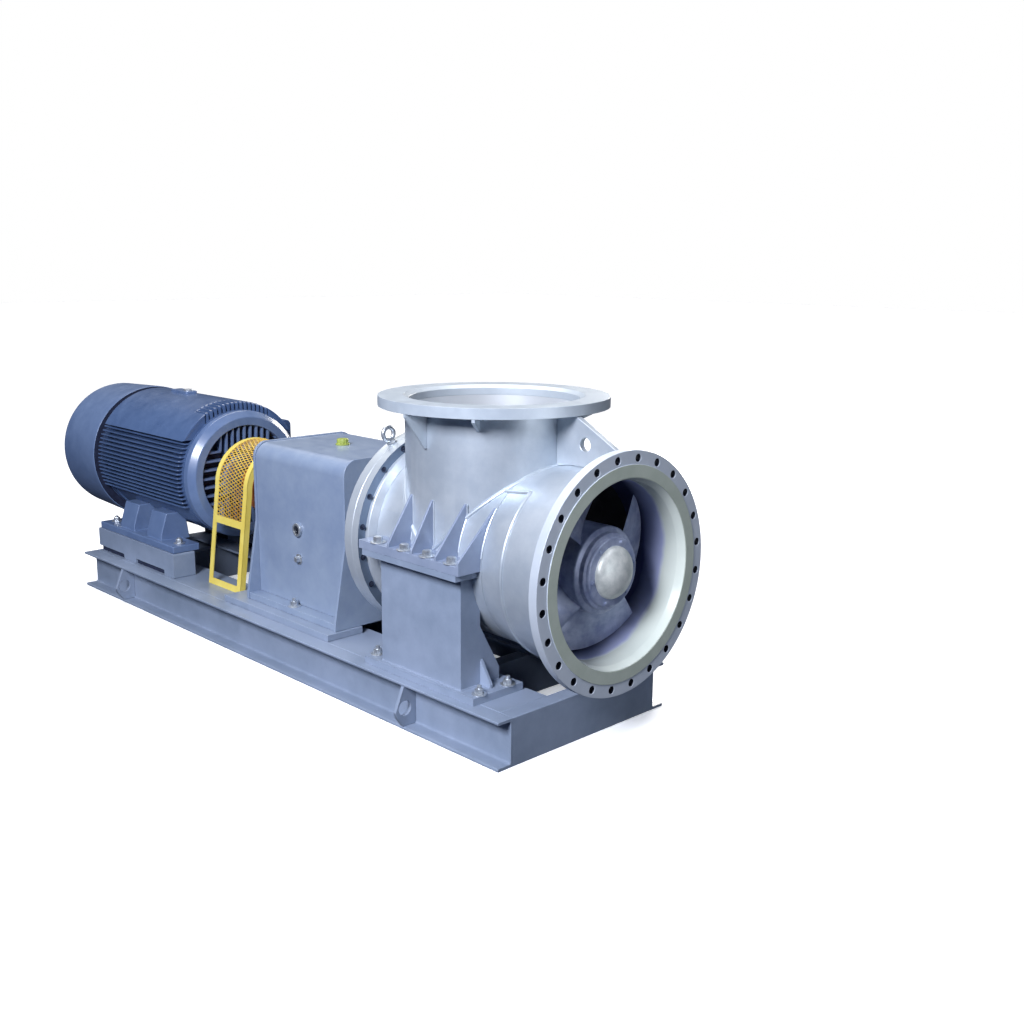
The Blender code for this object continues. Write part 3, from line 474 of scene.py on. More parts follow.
# Each support foot is a thick plate welded to the casing's side, stiffened by four pointed ribs
# and bolted down on its pedestal.
FOOT_BOLT_Y, FOOT_TOP = 0.426, 0.697
# Aluminium paint, sprayed on the casing: its flakes give a silver sheen that follows the light.
casing_paint = enamel("casing aluminium paint", "CCD4DB", "B4BFCA", 0.42, 0.2, 0.5)
# The feet's coat holds fewer flakes, so it looks bluer and flatter than the casing's.
foot_paint = enamel("foot enamel, silver blue", "9EAAC0", "8B98B0", 0.42, 0.25, 0.2)
for side, word in SIDES:
    softened(f"support_foot_{word}", foot_paint, 0.002)
    spots = [(behind(d), side * FOOT_BOLT_Y, FOOT_TOP) for d in (0.448, 0.582, 0.712, 0.87)]
    add_piece(f"foot_bolts_{word}", placed(hexagon_bolt(0.032), spots), zinc)


# The casing is a rolled and welded elbow: a level shell with a mitred vertical pipe. The seam
# between them is one long bead, ground a little and painted over, and a short collar swells the
# shell's rear end to meet its flange.
PIPE_D, PIPE_R, SHELL_R = 0.68, 0.3445, 0.345
RING_FACE_D, COVER_D, INSIDE_R = 1.02, 1.085, 0.340
NECK_Z, NECK_HALF, WELD_R = 0.88, 0.19, 0.010


def turned(profile, axis="X", centre=(0.0, 0.0, AXIS_Z), angles=None):
    """A profile of (radius, position) turned about an axis through the centre.

    The point at angle a is position along the axis and radius (sin a, cos a) across it.
    """
    profile = np.asarray(profile, float)
    angles = np.linspace(0, 2 * np.pi, 145) if angles is None else angles
    radius = profile[None, :, 0]
    first = radius * np.sin(angles)[:, None]
    second = radius * np.cos(angles)[:, None]
    deep = np.broadcast_to(profile[None, :, 1], first.shape)
    order = {"X": (2, 0, 1), "Y": (0, 2, 1), "Z": (0, 1, 2)}[axis]
    return [np.stack((first, second, deep), -1)[..., order] + np.asarray(centre)]


def shell_radius(distance):
    """The shell's radius: 0.345 m, growing evenly forwards from 0.38 m to 0.3635 m at 0.26 m."""
    return SHELL_R + np.clip((0.38 - distance) / 0.12, 0, 1) * 0.0185


# The casing's aluminium paint outside. Inside, up to the pipe's neck, it is painted near black,
# dull and dark: painted shade. The inside of the pipe's top is painted near white, a painted
# highlight, and the rear flange's face a darker grey: painted shade.
elbow_paint = enamel(
    "casing aluminium paint, painted shade inside", "CCD4DB", "B4BFCA",
    0.42, 0.2, 0.5,
)
shader, place, add = opened(elbow_paint)
within = []
for middle, across in (((0, 0, AXIS_Z), (0, 1, 1)), ((behind(PIPE_D), 0, 0), (1, 1, 0))):
    offset = add("VectorMath", "SUBTRACT", _0=place, _1=middle)
    flat = add("VectorMath", "MULTIPLY", _0=offset, _1=across)
    length = add("VectorMath", "LENGTH", _0=flat)
    within.append(add("Math", "LESS_THAN", _0=length, _1=INSIDE_R))
split = add("SeparateXYZ", Vector=place).outputs
ahead = add("Math", "GREATER_THAN", _0=split["X"], _1=behind(COVER_D))
in_shell = add("Math", "MULTIPLY", _0=within[0], _1=ahead)
neck = add("Math", "COMPARE", _0=split["Z"], _1=NECK_Z, _2=NECK_HALF)
in_pipe = add("Math", "MULTIPLY", _0=within[1], _1=neck)
# Where this mask is 1, inside the shell and the pipe's lower part, the colour is painted near
# black: painted shade.
coat_shade_mask = add("Math", "MAXIMUM", _0=in_shell, _1=in_pipe)
ring_face_shade = add("Math", "COMPARE", _0=split["X"], _1=behind(RING_FACE_D), _2=0.001)
tone = shader.inputs["Base Color"].links[0].from_socket
# The rear flange's face is painted darker grey, painted shade; the pipe's inside near white, a
# painted highlight; the inside below its neck near black, painted shade.
for share, colour in ((ring_face_shade, "75859A"), (within[1], "E2E7EB"), (coat_shade_mask, "1B1D25")):
    tone = add("Mix", "RGBA", _0=share, _6=tone, _7=colour)
feed(
    shader, Base_Color=tone,
    Metallic=add("MapRange", Value=coat_shade_mask, To_Min=0.5, To_Max=0.0),
    Coat_Weight=add("MapRange", Value=coat_shade_mask, To_Min=0.2, To_Max=0.0),
    Roughness=add("MapRange", Value=coat_shade_mask, To_Min=0.42, To_Max=0.7),
)
softened("elbow_casing", elbow_paint, 0)
# At angle a round the pipe the seam is r sin a to the side, and as high as the shell is there.
angle = np.linspace(0, 2 * np.pi, 241)
across = PIPE_R * np.sin(angle)
seam_d = PIPE_D - PIPE_R * np.cos(angle)
seam_z = AXIS_Z - 0.003 + np.sqrt(shell_radius(seam_d) ** 2 - across ** 2)
seam = np.stack((behind(seam_d), across, seam_z), 1)
add_piece("mitre_weld", carried(seam, WELD_R, 12), casing_paint)
collar_r, collar_front, collar_rear = 0.374, behind(0.985), behind(RING_FACE_D - GAP)
collar = rounded(
    ((PIPE_R, collar_front), (collar_r, behind(1.004)), (collar_r, collar_rear),
     (PIPE_R, collar_rear)),
    (0.002, 0.006, 0.001, 0.001),
)
around = np.linspace(np.radians(22), np.radians(338), 129)
collar = turned(np.concatenate((collar, collar[:1])), angles=around)
collar += [collar[0][0, :-1], collar[0][-1, :-1]]
add_piece("rear_collar", collar, casing_paint)
beads = []
for d in (0.389, 0.51, 0.645, 0.78):
    z = np.linspace(0.712, 0.883, 24)
    on_pipe = math.sqrt(max(PIPE_R ** 2 - (d - PIPE_D) ** 2, 0))
    y = np.maximum(np.sqrt(shell_radius(d) ** 2 - (z - AXIS_Z) ** 2), on_pipe)
    for side in (-1, 1):
        for face in (-0.0065, 0.0065):
            line = np.stack((np.full(24, behind(d + face)), side * (y + 0.001), z), 1)
            beads += carried(line, 0.0035, 6)
add_piece("rib_welds", beads, casing_paint)


# The discharge flange is a plain turned ring on top of the pipe, carried by welded gussets.
# It is left without bolt holes, and its coat of aluminium paint is newer, so paler and flatter.
pale_paint = enamel("flange aluminium paint", "C3CDD5", "B2BDC7", 0.42, 0.2, 0.2)
softened("discharge_flange", pale_paint, 0.003)


# The lifting lug is a 24 mm steel plate welded between flange, pipe and barrel, with a hole
# for a shackle. It was painted together with the casing.
softened("lifting_lug", casing_paint, 0.002)


# The suction end: a rolled barrel, and welded to it a turned steel flange with 24 drilled
# holes. The flange's raised face was left bare and has gone a greenish grey.
def about_shaft(x, radius, angle):
    """Points (x, r sin a, r cos a) at a radius r from the shaft, at an angle a from upright."""
    spots = x, radius * np.sin(angle), AXIS_Z + radius * np.cos(angle)
    return np.stack(np.broadcast_arrays(*spots), -1)


def ring_profile(points, radii):
    """A closed profile with rounded corners, its first point repeated at its end."""
    curve = rounded(points, radii)
    return np.concatenate((curve, curve[:1]))


softened("suction_barrel", elbow_paint, 0.002)
BARREL_D, TOP_ANGLE = 0.262, math.radians(37)
angle = np.linspace(TOP_ANGLE, 2 * np.pi - TOP_ANGLE, 150)
back_d = np.linspace(0.42, BARREL_D, 24)[:-1]
all_d = np.concatenate((back_d, np.full(150, BARREL_D), back_d[::-1]))
all_angle = np.concatenate((np.full(23, TOP_ANGLE), angle, np.full(23, -TOP_ANGLE)))
seam = about_shaft(behind(all_d), shell_radius(all_d) - 0.004, all_angle)
add_piece("barrel_weld", carried(seam, WELD_R, 12), casing_paint)

# The flange is 24 equal sectors, each a square-like patch round its hole: rays leave the hole
# at even angles and end on the sector's outer, inner or side limit, whichever is nearest.
HOLES, PITCH = 24, math.radians(15)
FLANGE_R, RAISED_R, BOLT_R, HOLE_R, EDGE, BORE_R = 0.4475, 0.3975, 0.420, 0.0145, 0.0015, 0.3503
half_width = BOLT_R * PITCH / 2
out_limit, in_limit = FLANGE_R - EDGE - BOLT_R, RAISED_R - BOLT_R
corners = [math.atan2(s * half_width, r) for s in (-1, 1) for r in (out_limit, in_limit)]
rays = np.concatenate((np.linspace(-np.pi, np.pi, 49), corners))
rays = np.unique(np.round(rays, 9))
radial, across = np.cos(rays), np.sin(rays)
with np.errstate(divide="ignore"):
    reach = np.minimum(
        np.where(radial > 0, out_limit / radial, in_limit / np.minimum(radial, -1e-12)),
        half_width / np.maximum(np.abs(across), 1e-12),
    )
front, rear = behind(0.003), behind(0.040)
share = np.array([1, 0.5, 0, 0, 0, 0, 0.5, 1])[:, None]
spread = HOLE_R + np.array([0, 0, 0.001, 0, 0, 0.001, 0, 0])[:, None]
deep = np.array([front, front, front, front - 0.001, rear + 0.001, rear, rear, rear])[:, None]
distance = spread + share * (reach[None] - spread)
out = BOLT_R + distance * radial
turn_by = distance * across / BOLT_R
middle = (PITCH * (0.5 + np.arange(HOLES)))[:, None, None]
plate = about_shaft(deep, out, turn_by + middle)
edge_angle = {}
for word, limit in (("outer", out_limit), ("inner", in_limit)):
    on_edge = np.abs(reach * radial - limit) < 1e-9
    found = (reach * across / BOLT_R)[on_edge] + middle[:, 0]
    found = np.unique(np.round(found, 9))
    edge_angle[word] = np.concatenate((found, found[:1] + 2 * np.pi))
quarter = np.radians((0, 30, 60, 90))
bend = FLANGE_R - EDGE
rim = [(bend + EDGE * math.sin(a), front - EDGE + EDGE * math.cos(a)) for a in quarter]
rim += [(bend + EDGE * math.cos(a), rear + EDGE - EDGE * math.sin(a)) for a in quarter]
lip = [(RAISED_R, front), (RAISED_R, SUCTION_X - 0.001), (RAISED_R - 0.001, SUCTION_X),
       (BORE_R + 0.001, SUCTION_X), (BORE_R, SUCTION_X - 0.001), (BORE_R, rear), (RAISED_R, rear)]
flange_shapes = [plate] + turned(rim, angles=edge_angle["outer"])
flange_shapes += turned(lip, angles=edge_angle["inner"])

# Grey primer on turned steel: fine round grooves of 4 mm pitch, drawn coarser than the real
# 0.4 mm, a cloudy tone, the bare raised face greenish, and the walls of the drilled holes
# painted almost black: painted shade.
flange_paint, shader, place, add = blank("turned flange, primer grey")
centred = add("Mapping", Vector=place, Location=(0, 0, -AXIS_Z), Scale=(0, 1, 1))
from_axis = add("VectorMath", "LENGTH", _0=centred)
x_place = add("SeparateXYZ", Vector=place).outputs["X"]
wave = add("Math", "MULTIPLY", _0=from_axis, _1=2 * math.pi / 0.004)
grooves = add("Math", "SINE", _0=wave)
stain = add("TexNoise", Vector=place, Scale=9.0, Detail=5.0, Roughness=0.65)
within = add("Math", "LESS_THAN", _0=from_axis, _1=RAISED_R - 0.0005)
ahead = add("Math", "GREATER_THAN", _0=x_place, _1=behind(0.0025))
raised = add("Math", "MULTIPLY", _0=within, _1=ahead)
bare = add("Mix", "RGBA", _0=stain, _6="A4AFA1", _7="CAD2C6")
primed = add("Mix", "RGBA", _0=stain, _6="B0BBC8", _7="CFD6DE")
outside = add("Mix", "RGBA", _0=raised, _6=primed, _7=bare)
sunk = add("Math", "COMPARE", _0=x_place, _1=behind(0.0215), _2=0.0165)
on_circle = add("Math", "COMPARE", _0=from_axis, _1=BOLT_R, _2=0.017)
# The walls of the drilled holes are painted almost black: painted shade in the recesses.
drilled = add("Math", "MULTIPLY", _0=sunk, _1=on_circle)
tone = add("Mix", "RGBA", _0=drilled, _6=outside, _7="1C2130")
bump = add("Bump", Height=grooves, Strength=0.10, Distance=0.0005)
feed(shader, Roughness=0.42, Metallic=0.2, Base_Color=tone, Normal=bump)
add_piece("suction_flange_drilled", flange_shapes, flange_paint, stands_for="suction_flange")


# Inside the barrel lies the liner in which the impeller's blades run: a smooth bored ring,
# held by the flange, with a cream white coating that stops short of the blades.
LINER_R, LINER_BORE, LINER_REAR = 0.3500, 0.335, behind(0.2603)
# The coating is smooth and half glossy, with a ragged edge that leans back towards its top;
# behind it the bare ring is painted pale lilac grey, then dull and near black where the blades
# run: painted shade that deepens further in.
liner_paint, shader, place, add = blank("cream white coating")
split = add("SeparateXYZ", Vector=place).outputs
ragged = add("TexNoise", Vector=place, Scale=5.0, Detail=3.0)
lower = add("Math", "MULTIPLY_ADD", _0=split["Z"], _1=-0.07, _2=split["X"])
shifted = add("Math", "MULTIPLY_ADD", _0=ragged, _1=0.06, _2=lower)
coat_shade_mask = add("MapRange", Value=shifted, From_Min=behind(0.122), From_Max=behind(0.102))
# Painted shade: behind the coat the ring is painted darker the deeper it lies.
depth_shade = add("MapRange", Value=shifted, From_Min=behind(0.210), From_Max=behind(0.115))
cream = add("Mix", "RGBA", _0=ragged, _6="C0CAC3", _7="E0E6DC")
shaded_ring = add("Mix", "RGBA", _0=depth_shade, _6="2A325A", _7="A9B1D4")
tone = add("Mix", "RGBA", _0=coat_shade_mask, _6=shaded_ring, _7=cream)
gloss = add("MapRange", Value=coat_shade_mask, To_Min=0.75, To_Max=0.22)
feed(shader, Specular_IOR_Level=0.35, Roughness=gloss, Base_Color=tone)
liner = ring_profile(
    ((LINER_R - 0.001, behind(0.001)), (LINER_R, behind(0.004)), (LINER_R, LINER_REAR),
     (LINER_BORE, LINER_REAR), (LINER_BORE, behind(0.085)), (0.338, behind(0.035))),
    (0.0005, 0.001, 0.001, 0.001, 0.03, 0.02),
)
add_piece("suction_liner", turned(liner), liner_paint, stands_for="wear_ring")


# The rear cover closes the casing and holds the stuffing box. Twenty bolts run round its rim,
# and two forged eye bolts stand on it for lifting.
def bolt_circle(count, first, radius, x):
    """Spots at even angles on a circle about the shaft, the first one's angle in degrees."""
    return about_shaft(x, radius, np.radians(first + 360 / count * np.arange(count)))


# Blackened steel under old oil: dark, half bright and patchy.
steel_dark = metal("oiled dark steel", "4A5266", "363D50", 0.42, 0.7, 0.02)
# Turned steel: bright and smooth, with faint patches of handling.
steel = metal("turned steel", "C9CDD0", "AAB0B6", 0.28, 1.0, 0.02)
softened("back_cover", elbow_paint, 0.003)
softened("shaft_gland", steel, 0.001)
COVER_BOLTS = (20, 9, 0.391)
heads = placed(hexagon_bolt(0.013), bolt_circle(*COVER_BOLTS, behind(RING_FACE_D)), (1, 0, 0))
nuts = placed(hexagon_bolt(0.016, 0.3), bolt_circle(*COVER_BOLTS, behind(1.11)), (-1, 0, 0))
add_piece("cover_bolts", heads + nuts, steel_dark)
spots = bolt_circle(4, 0, 0.068, behind(1.225))
add_piece("gland_nuts", placed(hexagon_bolt(0.018, 0.6), spots, (-1, 0, 0)), zinc)
COVER_R, EYE_LEAN, EYE_UP, EYE_R, WIRE_R = 0.4095, math.radians(26.25), 0.0420, 0.0262, 0.0092
for side, word in SIDES:
    outward = np.array((0, math.sin(EYE_LEAN * side), math.cos(EYE_LEAN * side)))
    foot = np.array((behind(COVER_D), 0, AXIS_Z)) + outward * COVER_R
    turn = np.linspace(0, 2 * np.pi, 49)[:, None]
    hub = np.cos(turn) * np.cross((1, 0, 0), outward) + np.sin(turn) * outward
    path = foot + outward * EYE_UP + EYE_R * hub
    around = np.linspace(0, 2 * np.pi, 13)[None, :, None]
    wire = np.cos(around) * hub[:, None] + np.sin(around) * np.array((1.0, 0, 0))
    stem = ((0, 0), (0.021, 0), (0.022, 0.002), (0.021, 0.007), (0.012, 0.010), (0.010, 0.016),
            (0, 0.016))
    stem = turned(stem, "Z", (0, 0, 0), np.linspace(0, 2 * np.pi, 33))[0]
    add_piece(
        f"eye_bolt_{word}_forged", [path[:, None] + WIRE_R * wire] + placed(stem, foot, outward),
        zinc, stands_for=f"eye_bolt_{word}",
    )


# The bearing housing is a welded box with rounded shoulders between two flared end plates,
# bolted to pads on the deck. It has a filler cap on top, and a sight glass and drain plug beside.
# Blue-grey enamel again, a touch glossier than the base frame's.
housing_paint = enamel("housing enamel", "8F9EB3", "7D8DA7", 0.38, 0.35)
for node in (
    "bearing_housing", "housing_end_plate_front", "housing_end_plate_rear", "housing_foot_near",
    "housing_foot_far", "bearing_cover_front", "bearing_cover_rear",
):
    softened(node, housing_paint, 0.002)
for word in ("near", "far"):
    softened(f"housing_pad_{word}", frame_paint, 0.002)
MIDDLE_X, SIDE_Y, GLASS_Z, PLUG_Z = behind(1.64), -0.2703, 0.588, 0.455
STRIP_Y, STRIP_TOP = 0.303, 0.245
spots = [(MIDDLE_X, side * STRIP_Y, STRIP_TOP) for side in (-1, 1)]
add_piece("housing_bolts", placed(hexagon_bolt(0.030, 0.4), spots), zinc)
for word, x, ahead in (("front", behind(1.265), 1), ("rear", behind(2.005), -1)):
    spots = bolt_circle(6, 30, 0.098, x)
    add_piece(
        f"bearing_cover_bolts_{word}", placed(hexagon_bolt(0.019), spots, (ahead, 0, 0)), steel_dark
    )
# Moulded plastic, yellow-green: even and half matt, with a little grime in patches of 15 mm.
cap_paint, shader, place, add = blank("yellow-green moulded plastic")
grime = add("TexNoise", Vector=place, Scale=60.0, Detail=3.0)
tone = add("Mix", "RGBA", _0=grime, _6="7E8C3E", _7="AEBB5A")
feed(shader, Roughness=0.4, Base_Color=tone)
cap_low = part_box("oil_filler_cap")[0]
turn = np.linspace(0, 2 * np.pi, 97)
cap = ((0, 0), (0.032, 0), (0.032, 0.006), (0.026, 0.008), (0.026, 0.022), (0.023, 0.027),
       (0, 0.028))
cap_middle = np.array((behind(1.67), 0))
cap_grid = turned(cap, "Z", (*cap_middle, cap_low.z), turn)[0]
# Twelve grips go 5 % in and out round the cap's crown.
grip = 1 + np.array((0, 0, 0, 0, 1, 1, 0))[None, :] * 0.05 * np.cos(12 * turn)[:, None]
cap_grid[..., :2] = cap_middle + (cap_grid[..., :2] - cap_middle) * grip[..., None]
add_piece("filler_cap", [cap_grid], cap_paint, stands_for="oil_filler_cap")
bezel = ring_profile(((0.030, 0), (0.030, 0.012), (0.020, 0.014), (0.020, 0)), 0.002)
bezel = bezel * (1, -1) + (0, SIDE_Y)
glass_middle = (MIDDLE_X, 0, GLASS_Z)
add_piece("sight_glass_bezel", turned(bezel, "Y", glass_middle), zinc)
pane = ((0, SIDE_Y - 0.010), (0.010, SIDE_Y - 0.0095), (0.0203, SIDE_Y - 0.007),
        (0.0203, SIDE_Y), (0, SIDE_Y))
# A window on dark oil: nearly black and very smooth.
glass = metal("dark oil behind glass", "2B2F38", "1A1D24", 0.12, 0.0, 0.03)
add_piece("sight_glass_pane", turned(pane, "Y", glass_middle), glass, stands_for="oil_level_gauge")
plug = placed(hexagon_bolt(0.026), (MIDDLE_X, SIDE_Y, PLUG_Z), (0, -1, 0))
add_piece("drain_plug", plug, zinc, stands_for="oil_drain_plug")


# The impeller is cast steel: a stepped hub with four wide twisted blades, a bolted front ring
# and a domed nose cap. The hub is keyed on the shaft's end.
HUB_FRONT, HUB_REAR, HUB_R = behind(0.058), behind(0.40), 0.163
NOSE_R, NOSE_RISE = 0.0975, 0.045
# Cast steel under a thin blue-grey coat: half matt, clouded in patches of 50 mm.
impeller_paint = metal(
    "cast impeller, blue grey", "ACB6CF", "8490B2", 0.36, 0.2, 0.05
)
# Spun steel with a satin skin: pale, with a broad soft highlight.
cap_steel = metal("satin nose cap", "E9ECE7", "CCD2CE", 0.44, 0.3, 0.03)


def on_axis(points, radii, front, rear):
    """A rounded profile cut where it crosses the axis, with its two ends set on the axis."""
    curve = rounded(points, radii)
    return [(0, front)] + curve[curve[:, 0] > 0].tolist() + [(0, rear)]


hub = on_axis(
    ((-0.05, HUB_FRONT), (0.128, HUB_FRONT), (0.130, behind(0.072)), (0.142, behind(0.074)),
     (0.144, behind(0.092)), (HUB_R, behind(0.098)), (HUB_R, behind(0.305)),
     (0.130, behind(0.38)), (0.070, HUB_REAR), (-0.05, HUB_REAR)),
    (0, 0.006, 0.003, 0.003, 0.004, 0.008, 0.02, 0.02, 0.01, 0), HUB_FRONT, HUB_REAR,
)
add_piece("hub_cast", turned(hub), impeller_paint, "rotor", "impeller_hub")
rise = np.radians(np.arange(90, -1, -7.5))
dome = np.stack((NOSE_R * np.cos(rise), behind(0.0575) + NOSE_RISE * np.sin(rise)), 1)
dome[0, 0] = 0
dome = np.concatenate((dome, ((NOSE_R, behind(0.060)), (0, behind(0.060)))))
add_piece("nose_cap_dome", turned(dome), cap_steel, "rotor", "nose_cap")
screws = placed(hexagon_bolt(0.010), bolt_circle(6, 20, 0.113, HUB_FRONT), (1, 0, 0))
add_piece("nose_ring_screws", screws, impeller_paint, "rotor")
# A blade runs over 74 degrees of the hub. At share a along it and r out, its middle surface
# lies at angle 74 a and at depth (0.16 - 0.07 r) a. Its faces stand off by 6 mm times
# (1.25 - 0.55 r) (1 - 4 a^2)^0.4, so it thins towards its tip and to nothing at both ends.
WRAP, ROOT_R, TIP_R = math.radians(74), 0.1615, 0.328
out = np.linspace(0, 1, 25)[:, None]
along = np.linspace(-0.5, 0.5, 49)[None, :]
radius = ROOT_R + (TIP_R - ROOT_R) * out
depth = 0.16 - 0.07 * out
lean = np.arctan2(depth, WRAP * radius)
thick = 0.006 * (1.25 - 0.55 * out) * np.sqrt(np.maximum(1 - (2 * along) ** 2, 0)) ** 0.8
for number in range(4):
    faces = []
    for face in (1, -1):
        turn_by = WRAP * along + face * thick * np.sin(lean) / radius
        turn_by = turn_by - math.radians(10 + 90 * number)
        x = behind(0.19 + 0.015 * out + depth * along) + face * thick * np.cos(lean)
        faces.append(about_shaft(x, radius, turn_by))
    ends = [np.stack((faces[0][row], faces[1][row])) for row in (-1, 0)]
    add_piece(
        f"blade_{number + 1}_cast", faces + ends, impeller_paint, "rotor",
        f"impeller_blade_{number + 1}", 50,
    )


# Pump shaft, motor shaft and the two halves of the flexible coupling are turned steel. Eight
# pins with rubber sleeves join the halves.
for name, node, radius, start, end in (
    ("pump_shaft_turned", "pump_shaft", 0.045, behind(0.4003), behind(2.24)),
    ("motor_shaft_turned", "motor_shaft", 0.0475, behind(2.26), behind(2.535)),
):
    bar = on_axis(
        ((-0.02, start), (radius, start), (radius, end), (-0.02, end)), (0, 0.002, 0.002, 0),
        start, end,
    )
    add_piece(name, turned(bar), steel, "rotor", node)
# Rust primer on the halves: orange-brown, flat and a little uneven.
coupling_paint = enamel("rust primer, orange brown", "C8743C", "9C5228", 0.5, 0.1)
HUB_OUT, DISC_R = 0.085, 0.14
for name, node, bore, outer_end, joint, ahead in (
    ("coupling_pump_side", "pump_coupling_half", 0.0453, 2.10, 2.2485, 1),
    ("coupling_motor_side", "motor_coupling_half", 0.0478, 2.40, 2.2515, -1),
):
    outer, shoulder, inner = behind(outer_end), behind(joint - ahead * 0.045), behind(joint)
    profile = ring_profile(
        ((HUB_OUT, outer), (HUB_OUT, shoulder), (DISC_R, shoulder), (DISC_R, inner),
         (bore, inner), (bore, outer)),
        (0.004, 0.006, 0.003, 0.002, 0.001, 0.002),
    )
    add_piece(name, turned(profile), coupling_paint, "rotor", node)
pins = placed(hexagon_bolt(0.022, 0.3), bolt_circle(8, 0, 0.115, behind(2.2035)), (1, 0, 0))
add_piece("coupling_pins", pins, steel_dark, "rotor")


# The coupling guard: flat steel bars bent to an arch on splayed legs, with expanded metal
# between them down to a cross bar. It stands bolted on the deck over the coupling.
GUARD_FRONT, GUARD_REAR, BAR, BAR_T = behind(2.145), behind(2.43), 0.031, 0.005
ARCH_R, SPLAY, FOOT_Z = 0.215, 0.060, HEIGHT + GAP
# Yellow enamel on the bars: clean and half gloss.
guard_paint = enamel("guard enamel, yellow", "F0DD74", "E0C858", 0.42, 0.2)
# The same yellow on the mesh, but flatter and clouded with brown: the brown is painted shade.
mesh_paint = enamel("expanded metal, yellow", "DDBB4C", "A8702A", 0.5, 0.1)


def leg_y(z):
    """A leg's half width: it falls evenly from 0.275 at the deck to 0.215 at the shaft."""
    return ARCH_R + SPLAY * (AXIS_Z - z) / (AXIS_Z - HEIGHT)


def arch(inset, low_z, steps=40):
    """Points (y, z) up one leg, over the half circle and down the other, pulled in by inset."""
    turn, radius = np.linspace(0, np.pi, steps), ARCH_R - inset
    top = np.stack((radius * np.cos(turn), AXIS_Z + radius * np.sin(turn)), 1)
    z = np.linspace(low_z, AXIS_Z, 12)[:-1]
    leg = np.stack((leg_y(z) - inset, z), 1)
    return np.concatenate((leg, top, leg[::-1] * (-1, 1)))


def band(outer, inner, rear, front):
    """A flat strip between two lines of points (y, z), closed at both ends."""
    corners = ((outer, rear), (outer, front), (inner, front), (inner, rear), (outer, rear))
    grid = np.stack([np.insert(line, 0, x, 1) for line, x in corners], 1)
    return [grid, grid[0, :4], grid[-1, :4]]


bars = []
for rear, front in ((GUARD_FRONT - BAR, GUARD_FRONT), (GUARD_REAR, GUARD_REAR + BAR)):
    bars += band(arch(0, FOOT_Z), arch(BAR_T, FOOT_Z), rear, front)
bars += band(arch(0.004, FOOT_Z), arch(0.030, FOOT_Z), GUARD_FRONT - BAR_T, GUARD_FRONT)
for side in (-1, 1):
    for low, high in ((FOOT_Z, 0.2153), (0.490, 0.525)):
        z = np.array((low, high))
        outer = np.stack((side * leg_y(z), z), 1)
        bars += band(outer, outer - (side * BAR_T, 0), GUARD_REAR + BAR, GUARD_FRONT - BAR)
add_piece("guard_bars", bars, guard_paint, stands_for="coupling_guard")
# The mesh: strands cross at a slant, each 105 mm along the arch over the guard's width, at a
# pitch of 18.5 mm. A strand is a flat wire, its corners pushed along the arch and off it.
STRAND_PITCH, STRAND_RUN, WIRE_HALF, WIRE_LIFT = 0.0185, 0.105, 0.0024, 0.001
line = arch(0.0025, 0.520, 60)
length = np.concatenate(((0,), np.cumsum(np.linalg.norm(np.diff(line, axis=0), axis=1))))
share = np.linspace(0, 1, 15)
starts = np.arange(-0.12, length[-1] + 0.12, STRAND_PITCH)[:, None]
x = GUARD_REAR + BAR - 0.002 + (GUARD_FRONT - GUARD_REAR - 2 * BAR + 0.004) * share
strands = []
for slope in (1, -1):
    s = np.clip(starts + slope * STRAND_RUN * (share - 0.5)[None, :], 0, length[-1])
    y, z = np.interp(s, length, line[:, 0]), np.interp(s, length, line[:, 1])
    out = np.stack((y, np.maximum(z - AXIS_Z, 0)), -1)
    out = out / np.linalg.norm(out, axis=-1)[..., None]
    wire = []
    for lift, push in ((1, -1), (1, 1), (-1, 1), (-1, -1), (1, -1)):
        at = np.clip(s + push * WIRE_HALF, 0, length[-1])
        wire.append(np.stack((
            np.broadcast_to(x, s.shape),
            np.interp(at, length, line[:, 0]) + lift * WIRE_LIFT * out[..., 0],
            np.interp(at, length, line[:, 1]) + lift * WIRE_LIFT * out[..., 1],
        ), -1))
    strands.append(np.stack(wire, 2))
add_piece("guard_mesh", strands, mesh_paint)


# Two stands of folded and welded plate carry the motor on three pads; slots are left under them
# between the pads. They are painted with the base, and the motor's cast feet are bolted on.
SLOT_HEIGHT, PLATE, LUG_Y, LUG_TOP = 0.026, 0.012, 0.30, 0.345
SLOT_FRONT, PAD_FRONT, PAD_REAR = behind(2.70), behind(3.006), behind(3.134)
# Slate blue enamel, paler on shield and cowl than on the barrel, and glossier than the base.
# The feet take the paler tone too: on them it is painted light.
cowl_paint = enamel("cowl enamel, pale slate blue", "6C81A5", "596E93", 0.36, 0.35)
motor_paint = enamel("motor enamel, slate blue", "536A91", "445A80", 0.34, 0.5)
# Painted shade for deep hollows: dark and flat, standing in for the shade where little light
# gets in.
hollow = metal("painted shade for hollows", "232B44", "1A2036", 0.6, 0.0, 0.03)


def rectangle(left, right, low, high):
    """The four corners of a rectangle."""
    return (left, low), (right, low), (right, high), (left, high)


